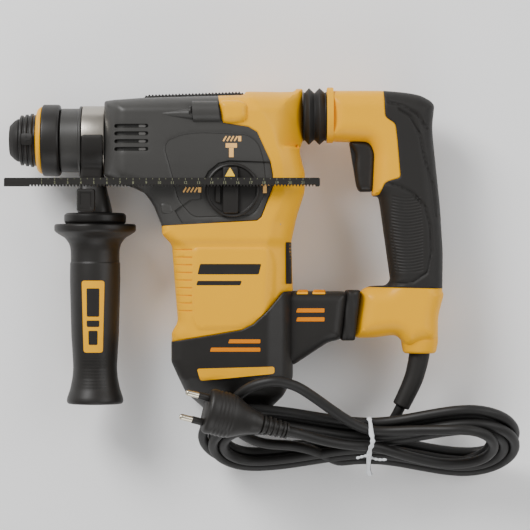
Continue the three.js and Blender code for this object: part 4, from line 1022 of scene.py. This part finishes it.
    def depth_rod(self) -> None:
        """Builds the rod with teeth on its lower edge, then its ticks and centimetre numbers."""
        x0, x1 = self.rod
        top, low = self.rod_y + 3.4, self.rod_y - 3.2
        teeth = np.arange(x0 + 19, x1 - 3, self.tooth)
        line = [(x0, low), (x0 + 18.6, low)]
        for x in teeth:
            line += [(x, low), (x + 0.5, low + 1.4), (x + 1.5, low + 1.4), (x + 2.0, low)]
        line += [(x1 - 0.6, low), (x1, low + 0.8), (x1, top - 0.8), (x1 - 0.8, top), (x0 + 0.8, top),
                 (x0, top - 0.8)]
        outline = np.array(line, float)
        flat, faces = tiles([outline], outline, 3.0)
        faces = faces[inside(flat[faces].mean(1), outline)]
        height = lambda p: 0 * p[:, 0] + self.rod_top
        slab("gauge_rod_bar", flat, faces, height(flat), height(flat) - 6).piece(
            "gauge_rod", BLACK, ("depth_rod",), "black_plastic")
        first, start, count = self.numbers
        ticks = Blank("gauge_ticks")
        for k in range(2 * count):
            x = start + 5 * k
            if x > x1 - 3:
                break
            reach = 2.0 if k % 2 == 0 else 1.2
            loop = np.array([(x - 0.18, top - reach), (x + 0.18, top - reach), (x + 0.18, top - 0.3),
                             (x - 0.18, top - 0.3)])
            ring = [np.column_stack([loop, height(loop) + dz]) for dz in (-0.2, 0.08)]
            ticks.grid(np.array(ring))
        ticks.piece("gauge_rod", SCALE)
        self.write_numbers(first, start, count, top)

    def write_numbers(self, first: int, start: float, count: int, top: float) -> None:
        """Sets the centimetre numbers below their ticks as thin raised figures."""
        for k in range(count):
            x = start + 10 * k
            if x > self.rod[1] - 4:
                break
            curve = bpy.data.curves.new(f"gauge_number_{first + k}", "FONT")
            curve.body, curve.size, curve.extrude = str(first + k), 3.0 * MM, 0.05 * MM
            curve.align_x, curve.align_y, curve.resolution_u = "CENTER", "TOP", 2
            curve.offset = 0.02 * MM
            text = bpy.data.objects.new(f"gauge_text_{first + k}", curve)
            mesh = bpy.data.meshes.new_from_object(text)
            points = np.empty(3 * len(mesh.vertices), np.float32)
            mesh.vertices.foreach_get("co", points)
            shift = np.array((x, top - 2.4, self.rod_top + REST + 0.04), np.float32) * np.float32(MM)
            mesh.vertices.foreach_set("co", (points.reshape(-1, 3) + shift).ravel())
            bpy.data.objects.remove(text)
            obj = bpy.data.objects.new(f"gauge_number_{first + k}", mesh)
            bpy.context.scene.collection.objects.link(obj)
            mesh.materials.clear()
            finish_piece(obj, "gauge_rod", SCALE)


FLOAT = ("housing", "rear_handle")


@dataclass
class RearHandle:
    """The floating D handle: yellow shells, soft grip, trigger, bellows, lower boot and cord guard.

    Attributes:
        half: half the thickness of the handle.
        round: radius of its edges.
        pitch: pitch of the grip's ribs.
        rib_area: where the ribs are.
        grooves: lines of the flowing grooves on the grip.
        guard: centre line of the cord guard, above the bench.
        damper: ends of the damper, above the bench.
    """

    half: float = 19.4
    round: float = 14.0
    pitch: float = 2.4
    rib_area: tuple = ((124.5, -43), (147, -43), (149.5, -70), (149.5, -104), (127, -104), (122.5, -75))
    grooves: tuple = (
        ((121, -34), (131, -36.5), (141, -42), (150, -52), (154.5, -68), (155.5, -88), (152, -104), (141, -111),
         (121, -113)),
        ((129, 24), (139, 18), (146, 4), (150, -14), (156, -34), (159, -60)),
        ((122, 29), (134, 26), (144, 20), (152, 8)))
    guard: tuple = ((147.6, -160.5, 41), (147.1, -167.5, 41), (145.7, -175.4, 41), (143.3, -184.7, 41),
                    (140.4, -192.2, 41), (136.8, -199.9, 41), (132.4, -208.9, 41))
    damper: tuple = ((56.5, 18.8, REST), (73.2, 18.8, REST))

    def build(self) -> None:
        """Builds every piece of the handle."""
        self.shells()
        self.grip()
        self.trigger()
        self.bellows()
        self.spring()
        self.boot()
        self.cord_guard()

    def outline(self) -> np.ndarray:
        """Returns the handle's outline with its corners rounded."""
        return rounded(HANDLE_OUTLINE, 5.0)

    def height(self, points: np.ndarray) -> np.ndarray:
        """Half the thickness: full inside, and a quarter circle towards the outline."""
        return edge_round(points, 0 * points[:, 0] + self.half, self.outline(), self.round)

    def grip_height(self, points: np.ndarray) -> np.ndarray:
        """Adds the ribs, a cosine of y bent along x, and the grooves to the handle's height."""
        area = np.array(self.rib_area, float)
        mask = np.where(inside(points, area), smooth_step(distance(points, area), 0, 1.5), 0)
        bend = 1.6 * np.sin((points[:, 0] - 125) / 22 * math.pi)
        wave = 0.5 - 0.5 * np.cos((points[:, 1] + bend) * 2 * math.pi / self.pitch)
        level = self.height(points) + 0.35 - 0.6 * mask * wave
        for line in self.grooves:
            level = level - 1.3 * (1 - smooth_step(distance(points, np.array(line, float), False), 0.3, 1.5))
        return level

    def shells(self) -> None:
        """Builds the yellow part, the socket round the guard and the collar that meets the bellows."""
        blank = shell("handle_yellow", self.outline(), self.height, 2.2, drop=[rounded(GRIP_REGION, 2.5)])
        blank.piece("rear_handle", YELLOW, ("handle_shell_left", "handle_shell_right"), "yellow_housing")
        loop = rounded([(74.3, -1.8), (79.4, -1.8), (79.4, 41.2), (74.3, 41.2)], 1.2)
        collar = lambda p: 6.0 + np.sqrt(np.maximum(21.4 ** 2 - (p[:, 1] - 19.7) ** 2, 0.5)) * 0.68
        socket = [(0.3, -138), (11, -138), (14.4, -149), (14.6, -158), (13.2, -165.4), (11.8, -167),
                  (0.3, -167)]
        Blank("cord_socket").grid(turned(socket, "Y", (147.2, 0), 64, 2.0), caps=False).piece(
            "rear_handle", YELLOW, slot="yellow_housing")
        shell("handle_collar", loop, collar, 2.0).piece("rear_handle", YELLOW, slot="yellow_housing")

    def grip(self) -> None:
        """Builds the rubber grip with its ribs and grooves."""
        patches = [(np.array(GRIP_REGION, float), 1.3), (np.array(self.rib_area, float), 0.66)]
        shell("grip_rubber", self.outline(), self.grip_height, 2.2, keep=[rounded(GRIP_REGION, 2.5)],
              patches=patches).piece("rear_handle", RUBBER, ("handle_grip",), "rubber", sharp=50)

    def trigger(self) -> None:
        """Builds the long trigger, rounded towards its outline."""
        loop = rounded(TRIGGER_OUTLINE, 3)
        flat, faces = tiles([loop, grown(loop, -1), grown(loop, -2.6)], loop, 1.8)
        rise = edge_round(flat, 0 * flat[:, 0] + 9.6, loop, 4.6)
        slab("trigger_key", flat, faces, rise, -rise).piece(
            "trigger_lever", BLACK, ("trigger",), "black_plastic")

    def bellows(self) -> None:
        """Builds the upper bellows: two pleats turned about the damper's axis."""
        x = np.linspace(55.9, 73.8, 60)
        r = np.interp(x, (55.9, 57, 60.4, 64.6, 68.6, 72.8, 73.8), (19.4, 18.6, 22.4, 18.3, 22.4, 18.6, 19.4))
        kernel = np.ones(3) / 3
        r = np.concatenate([r[:1], np.convolve(r, kernel, "valid"), r[-1:]])
        rows = np.concatenate([np.stack([r, x], 1), [[14.5, 73.8], [14.5, 55.9]]])
        Blank("damper_bellows").grid(turned(rows.tolist(), "X", (18.8, 0), 96, 0), caps=False).piece(
            self.damper_blend(), RUBBER, ("bellows",), "rubber", sharp=70)

    def damper_blend(self) -> tuple:
        """Gives the damper's two bodies and, in metres, the damper's two ends."""
        return (*FLOAT, *[tuple(v * MM for v in end) for end in self.damper])

    def spring(self) -> None:
        """Builds the damper's coil spring inside the bellows: a helix whose pitch is even."""
        turn = np.linspace(0, 5 * 2 * math.pi, 180)
        line = np.stack([57.5 + turn * 14.6 / (10 * math.pi), 18.8 + 8.5 * np.cos(turn), 8.5 * np.sin(turn)], 1)
        Blank("damper_coil").grid(sweep(line, np.full(len(line), 1.0), 10)).piece(
            self.damper_blend(), STEEL, ("damper_spring",), "machined_steel")

    def boot(self) -> None:
        """Builds the lower boot, with a groove between two ribs along it."""
        loop = rounded([(89.2, -117.4), (100.4, -117.4), (95.9, -156.6), (84.9, -156.6)], 2)
        flat, faces = tiles([loop, grown(loop, -0.9), grown(loop, -2)], loop, 1.1)
        across = flat[:, 0] + 0.115 * (flat[:, 1] + 117)
        rise = edge_round(flat, 0 * flat[:, 0] + 21.5, loop, 4)
        rise = rise - 0.7 * (0.5 + 0.5 * np.cos((across - 94.8) * 2 * math.pi / 5.4))
        blend = (*FLOAT, (0.0865, -0.137, REST * MM), (0.0985, -0.137, REST * MM))
        slab("pivot_boot", flat, faces, rise, -rise).piece(blend, RUBBER, ("lower_boot",), "rubber", sharp=50)

    def cord_guard(self) -> None:
        """Builds the cord guard, whose radius falls evenly to a soft edge at its end."""
        line = spline(self.guard, 0.7)
        share = np.linspace(0, 1, len(line))
        radius = 8.3 - 1.5 * share - 0.9 * smooth_step(share, 0.985, 1.0)
        Blank("cord_relief").grid(sweep(line, radius, 28)).piece(
            "rear_handle", RUBBER, ("cord_guard",), "rubber", lift=0, sharp=60)


@dataclass
class PowerCord:
    """The mains cord: it leaves the guard, lies in a tied hank and ends in a two-pin plug.

    The hank leans on the tool. Its runs are given as x, t along its slope, and n off it.

    Attributes:
        diameter: outer diameter of the sheath.
        length: real length of the cord.
        centre: origin of the hank above the bench.
        lean: slope of the hank in degrees.
        ends: x of the left and right fold centres.
        tie_x: where the tie pulls the runs together.
        lead: points of the cord from the guard to the hank, above the bench.
        tail: points from the hank to the plug, above the bench.
    """

    diameter: float = 8.0
    length: float = 3600.0
    centre: tuple = (0.0, -236.0, 40.93)
    lean: float = 55.0
    ends: tuple = (17.0, 186.0)
    tie_x: float = 108.0
    lead: tuple = ((132.4, -208.9, 41), (129.4, -215.1, 39.8), (126.4, -220.6, 36.4), (122.8, -225.8, 31.4),
                   (118.2, -230.4, 25.2), (112, -234.4, 18.4), (103.6, -237.6, 12.2), (92, -239.8, 7.4),
                   (78, -241.2, 5.1), (62, -241.8, 4.4), (46, -242.3, 4.3))
    tail: tuple = ((110, -239, 59.8), (94, -237.9, 62.4), (80, -235.6, 67.4), (68, -232.6, 73.4),
                   (58, -229.4, 78.8), (50, -226.9, 82.5), (43.25, -225.1, 84.4))

    def place(self, points: np.ndarray) -> np.ndarray:
        """Turns hank points into points above the bench by a turn about x and a shift."""
        a = math.radians(self.lean)
        x, t, n = points[:, 0], points[:, 1], points[:, 2]
        return np.stack([x, self.centre[1] + t * math.cos(a) - n * math.sin(a),
                         self.centre[2] + t * math.sin(a) + n * math.cos(a)], 1)

    def gap(self, x: np.ndarray) -> np.ndarray:
        """Half the hank's opening: 20 mm at the folds, 1 mm at the tie, smooth between them."""
        left = smooth_step(self.tie_x - x, 0, self.tie_x - self.ends[0])
        right = smooth_step(x - self.tie_x, 0, self.ends[1] - self.tie_x)
        return 1 + 19 * np.where(x < self.tie_x, left, right)

    def run(self, x0: float, x1: float, side: int, turn: int, level: float) -> np.ndarray:
        """Gives a straight run on one side of the opening, between the fold centres."""
        x = np.linspace(x0, x1, 30)
        return np.stack([x, side * (self.gap(x) + 4 + 8 * turn), 0 * x + level], 1)

    def hank(self) -> np.ndarray:
        """Strings the runs and folds together: in along the back layer, out along the front one."""
        left, right = self.ends
        parts = [np.array([(30, -38.3, -9.2), (22, -40, -5.4)])]
        low, high = -4.0, 4.0
        for turn, radius in ((2, 40), (1, 32), (0, 24)):
            parts += [self.left(left, radius, low), self.run(left, right, 1, turn, low)]
            if turn:
                parts += [self.right(right, radius, radius - 8, (low, low)),
                          self.run(right, left, -1, turn - 1, low)]
        parts += [self.right(right - 6, 24, 24, (low, high)), self.run(right, left, -1, 0, high)]
        for turn, radius in ((0, 24), (1, 32)):
            parts += [self.left(left, radius, high), self.run(left, right, 1, turn, high),
                      self.right(right, radius, radius + 8, (high, high)),
                      self.run(right, left, -1, turn + 1, high)]
        return self.place(np.concatenate(parts[:-1] + [self.last_loop()]))

    def left(self, x: float, radius: float, level: float) -> np.ndarray:
        """Gives the left fold: a half circle from the lower run to the upper one."""
        turn = np.linspace(-math.pi / 2, -3 * math.pi / 2, 26)[1:-1]
        return np.stack([x + radius * np.cos(turn), radius * np.sin(turn), 0 * turn + level], 1)

    def right(self, x: float, first: float, last: float, levels: tuple) -> np.ndarray:
        """Gives the right fold: a half spiral from the upper run to the lower one."""
        share = np.linspace(0, 1, 26)[1:-1]
        turn = math.pi / 2 - math.pi * share
        radius = first + (last - first) * share
        return np.stack([x + radius * np.cos(turn), radius * np.sin(turn),
                         levels[0] + (levels[1] - levels[0]) * share], 1)

    def last_loop(self) -> np.ndarray:
        """Gives the outermost loop, which climbs on to the foot, then the fold that leads to the tail."""
        x = np.linspace(self.ends[1], 84, 20)
        low = np.stack([x, -(self.gap(x) + 20), 0 * x + 4], 1)
        climb = np.array([(72, -13.5, 4), (60, -5.6, 4), (48, -0.6, 4)])
        turn = np.linspace(-math.pi / 2, -3 * math.pi / 2, 28)
        fold = np.stack([36 + 37 * np.cos(turn), 38 + 37 * np.sin(turn), -2 - 6 * np.sin(turn)], 1)
        down = np.array([(50, 69.5, -6.8), (64, 58, -3.8), (78, 44.5, -0.6), (92, 32, 2.2), (106, 23.4, 4),
                         (116, 22, 4.4), (128, 24, 5.4), (142, 28.4, 7.4), (156, 33.4, 10.2), (168, 37, 12.4)])
        turn = np.linspace(math.pi / 2, -math.pi / 2, 16)
        back = np.stack([178 + 26 * np.cos(turn), 13 + 25.5 * np.sin(turn), 0 * turn + 13.2], 1)
        drift = np.array([(165, -11.8, 13.2), (151, -7, 13.2), (137, -0.4, 13.2), (123, 7.4, 13.3)])
        return np.concatenate([low, climb, fold, down, back, drift])

    def path(self) -> np.ndarray:
        """Joins lead, hank and tail, evenly spaced, and softens the joins by a running mean."""
        line = spline([*self.lead, *self.hank().tolist(), *self.tail], 3.0)
        for _ in range(3):
            line[1:-1] = (line[:-2] + 2 * line[1:-1] + line[2:]) / 4
        return line

    def build(self) -> None:
        line = self.path()
        length = float(np.sum(np.linalg.norm(np.diff(line, axis=0), axis=1)))
        LOG.info("cord: %.0f mm along its centre line, %.0f mm stated", length, self.length)
        cord = Blank("power_cord").grid(sweep(line, np.full(len(line), self.diameter / 2), 16)).piece(
            "housing", CABLE, ("cord_lead", "cord_hank", "cord_tail"), "cord_rubber", lift=0)
        pieces = [self.tie(), *Plug().build()]

    def tie(self) -> bpy.types.Object:
        """Builds the tie: a flat band round the waist, twisted, with two short ends."""
        turn = np.linspace(0, 2 * math.pi, 120, endpoint=False)
        c, s = np.cos(turn), np.sin(turn)
        t = 27.4 * np.sign(c) * np.abs(c) ** 0.4
        n = 5.1 + 13.6 * np.sign(s) * np.abs(s) ** 0.4
        line = np.stack([self.tie_x + 1.2 * np.sin(3 * turn), t, n], 1)
        section = np.linspace(0, 2 * math.pi, 12, endpoint=False)[None, :]
        out = np.stack([0 * c, c, s], 1)
        wide = 1.7 + 0.35 * np.sin(14 * turn)[:, None]
        rows = (line[:, None] + np.array([1.0, 0, 0]) * (wide * np.cos(section))[..., None]
                + out[:, None] * (0.75 * np.sin(section))[..., None])
        rows = np.concatenate([rows, rows[:1]])
        blank = Blank("hank_tie").grid(np.array([self.place(r) for r in rows]), caps=False)
        for k, end in enumerate(((120, 12, 24), (97, 16, 25))):
            middle = ((self.tie_x + end[0]) / 2, 8 + 5 * k, 21.6)
            way = spline([(self.tie_x, 6 + 4 * k, 18.6), middle, end], 0.8)
            blank.grid(sweep(self.place(way), 0.95 + 0.25 * np.sin(np.arange(len(way)) * 1.4), 10))
        return blank.piece("housing", TIE, ("cord_tie",), "cord_tie", lift=0, sharp=60)


@dataclass
class Plug:
    """The two-pin mains plug, flat and contoured, with a ribbed relief.

    Attributes:
        face: middle of its front above the bench.
        yaw: turn about z in degrees.
        pitch: turn about y in degrees.
        flat: its thickness over its width.
    """

    face: tuple = (-19.0, -208.4, 100.5)
    yaw: float = -15.0
    pitch: float = 14.0
    flat: float = 0.76

    def place(self, rows: np.ndarray) -> np.ndarray:
        """Turns rows of points from the plug's frame into the object's, by yaw after pitch."""
        a, b = math.radians(self.yaw), math.radians(self.pitch)
        yaw = np.array([[math.cos(a), -math.sin(a), 0], [math.sin(a), math.cos(a), 0], [0, 0, 1]])
        pitch = np.array([[math.cos(b), 0, math.sin(b)], [0, 1, 0], [-math.sin(b), 0, math.cos(b)]])
        return rows @ (yaw @ pitch).T + np.array(self.face)

    def build(self) -> list:
        """Builds the body with its grip ridges, and the pins.

        Returns:
            The pieces of the plug.
        """
        x = np.concatenate([np.linspace(0, 44, 70), np.linspace(44.4, 66, 90)])
        r = np.interp(x, (0, 1.2, 3, 16, 20, 24, 30, 36, 40, 44, 66),
                      (15.2, 16.8, 17.5, 17.6, 17, 15.4, 12.4, 10, 9, 7.8, 6.4))
        ribs = np.clip(np.cos((x - 46.4) / 4.1 * 2 * math.pi) * 3, -1, 1) * 0.5 + 0.5
        r = r - 1.5 * (1 - ribs) * smooth_step(x, 44, 45) * (1 - smooth_step(x, 64, 65))
        r = r - 0.5 * (0.5 - 0.5 * np.cos(np.clip((x - 6) / 15, 0, 1) * 10 * math.pi))
        turn = np.linspace(0, 2 * math.pi, 72, endpoint=False)
        c, s = np.cos(turn), np.sin(turn)
        flat = (self.flat + (0.97 - self.flat) * smooth_step(x, 34, 46))[:, None]
        rows = np.stack([x[:, None] + 0 * c, r[:, None] * c, r[:, None] * s * flat], -1)
        body = Blank("mains_plug").grid(self.place(rows)).piece(
            "housing", BLACK, ("plug_body",), "rubber", lift=0, sharp=50)
        pieces = [body]
        for number, y in enumerate((-9.5, 9.5), 1):
            profile = [(0.2, 1.0), (2.35, 1.0), (2.35, -17.4), (1.7, -18.7), (0.6, -19), (0.2, -19)]
            rows = turned(profile, "X", (y, 0), 32, 0.5)
            pieces.append(Blank(f"mains_pin_{number}").grid(self.place(rows), caps=False).piece(
                "housing", NICKEL, (f"plug_pin_{number}",), "plug_pins", lift=0))
            sleeve = [(0.6, 0.6), (2.8, 0.6), (2.8, -8.6), (2.4, -9.0), (0.6, -9.0)]
            pieces.append(Blank(f"pin_sleeve_{number}").grid(
                self.place(turned(sleeve, "X", (y, 0), 32, 0.3)), caps=False).piece("housing", BLACK, lift=0))
        return pieces


# ---- studio ----------------------------------------------------------------------------------

class Group(Enum):
    """Finishes of the CAD nodes that are shown as they are, by the parts that wear them."""

    STEEL = (STEEL, ("armature_shaft", "crank_gear", "bevel_shaft", "spindle", "spindle_gear", "piston_pin",
                     "ram", "beat_piece", "clamp_bolt", "bearing_", "handle_pivot_pin", "armature_core",
                     "stator", "shift_fork"))
    CAST = (CAST, ("gear_plate", "piston", "connecting_rod", "spindle_bearing"))
    COPPER = (COPPER, ("commutator", "brush_holder_"))
    BLACK = (BLACK, ("cooling_fan", "trigger_switch"))


@dataclass
class Studio:
    """Camera, lights and floor.

    Attributes:
        target: point below the camera in the split plane, in millimetres.
        distance: height of the camera above that plane, in millimetres.
        lens: focal length in millimetres.
        sensor: width of the sensor in millimetres.
        aim: point in metres at which the lamps point.
        ambient: strength of the even light from all round.
        lamps: name, place in metres, size and power of each lamp.
        floor: half the floor's width in metres.
        floor_drop: how far the floor lies below the bench's zero, in metres.
    """

    target: tuple = (25.9, -97.8)
    distance: float = 2000.0
    lens: float = 173.0
    sensor: float = 36.0
    aim: tuple = (0.03, -0.1, 0.04)
    ambient: float = 0.42
    lamps: tuple = (("key", (-1.0, 1.1, 1.2), 0.8, 38), ("fill", (1.3, 0.3, 1.2), 1.2, 13),
                    ("front", (0.1, -1.6, 1.0), 1.2, 10))
    floor: float = 4.0
    floor_drop: float = 0.0004

    def camera(self) -> None:
        """Sets the camera straight above the tool, with the tool's top towards the top of the frame."""
        data = bpy.data.cameras.new("studio_camera")
        data.lens, data.sensor_width, data.clip_end = self.lens, self.sensor, 50.0
        camera = bpy.data.objects.new("studio_camera", data)
        camera.location = (self.target[0] * MM, self.target[1] * MM, (self.distance + REST) * MM)
        bpy.context.scene.collection.objects.link(camera)
        bpy.context.scene.camera = camera

    def lamp(self, name: str, place: tuple, size: float, power: float) -> bpy.types.Object:
        """Adds one square area lamp that points at the tool."""
        data = bpy.data.lights.new(name, "AREA")
        data.size, data.energy = size, power
        lamp = bpy.data.objects.new(name, data)
        lamp.location = place
        aim = Vector(self.aim) - Vector(place)
        lamp.rotation_euler = aim.to_track_quat("-Z", "Y").to_euler()
        bpy.context.scene.collection.objects.link(lamp)
        return lamp

    def build(self) -> None:
        """Lights the bench softly from all round, a little stronger from the upper left."""
        world = bpy.data.worlds.new("studio_world")
        world.use_nodes = True
        color, strength = world.node_tree.nodes["Background"].inputs[:2]
        color.default_value, strength.default_value = (1, 1, 1, 1), self.ambient
        bpy.context.scene.world = world
        lamps = [self.lamp(*values) for values in self.lamps]
        mesh = bpy.data.meshes.new("studio_floor")
        s = self.floor
        mesh.from_pydata([(-s, -s, 0), (s, -s, 0), (s, s, 0), (-s, s, 0)], [], [(0, 1, 2, 3)])
        floor = bpy.data.objects.new("studio_floor", mesh)
        floor.location = (0, 0, -self.floor_drop)
        bpy.context.scene.collection.objects.link(floor)
        pale = Finish("floor_pale", (253, 253, 253), 0.9, grain=3.0, depth=0.0, mottle=0.004)
        mesh.materials.append(pale.material())


def dress_carried() -> None:
    """Gives each CAD node that is still shown the finish of its group."""
    for name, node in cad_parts.items():
        finish = STEEL
        for group in Group:
            kind, names = group.value
            if any(name == n or (n.endswith("_") and name.startswith(n)) for n in names):
                finish = kind
        node.data.materials.clear()
        node.data.materials.append(finish.material())


def main() -> None:
    """Builds the camera and the cord first, then the rest of the tool and the studio."""
    logging.basicConfig(level=logging.INFO, format="%(name)s: %(message)s")
    studio = Studio()
    studio.camera()
    dress_carried()
    PowerCord().build()
    MainCase().build()
    ModeDial().build()
    Chuck().build()
    SideHandle().build()
    RearHandle().build()
    studio.build()


if __name__ == "__main__":
    main()
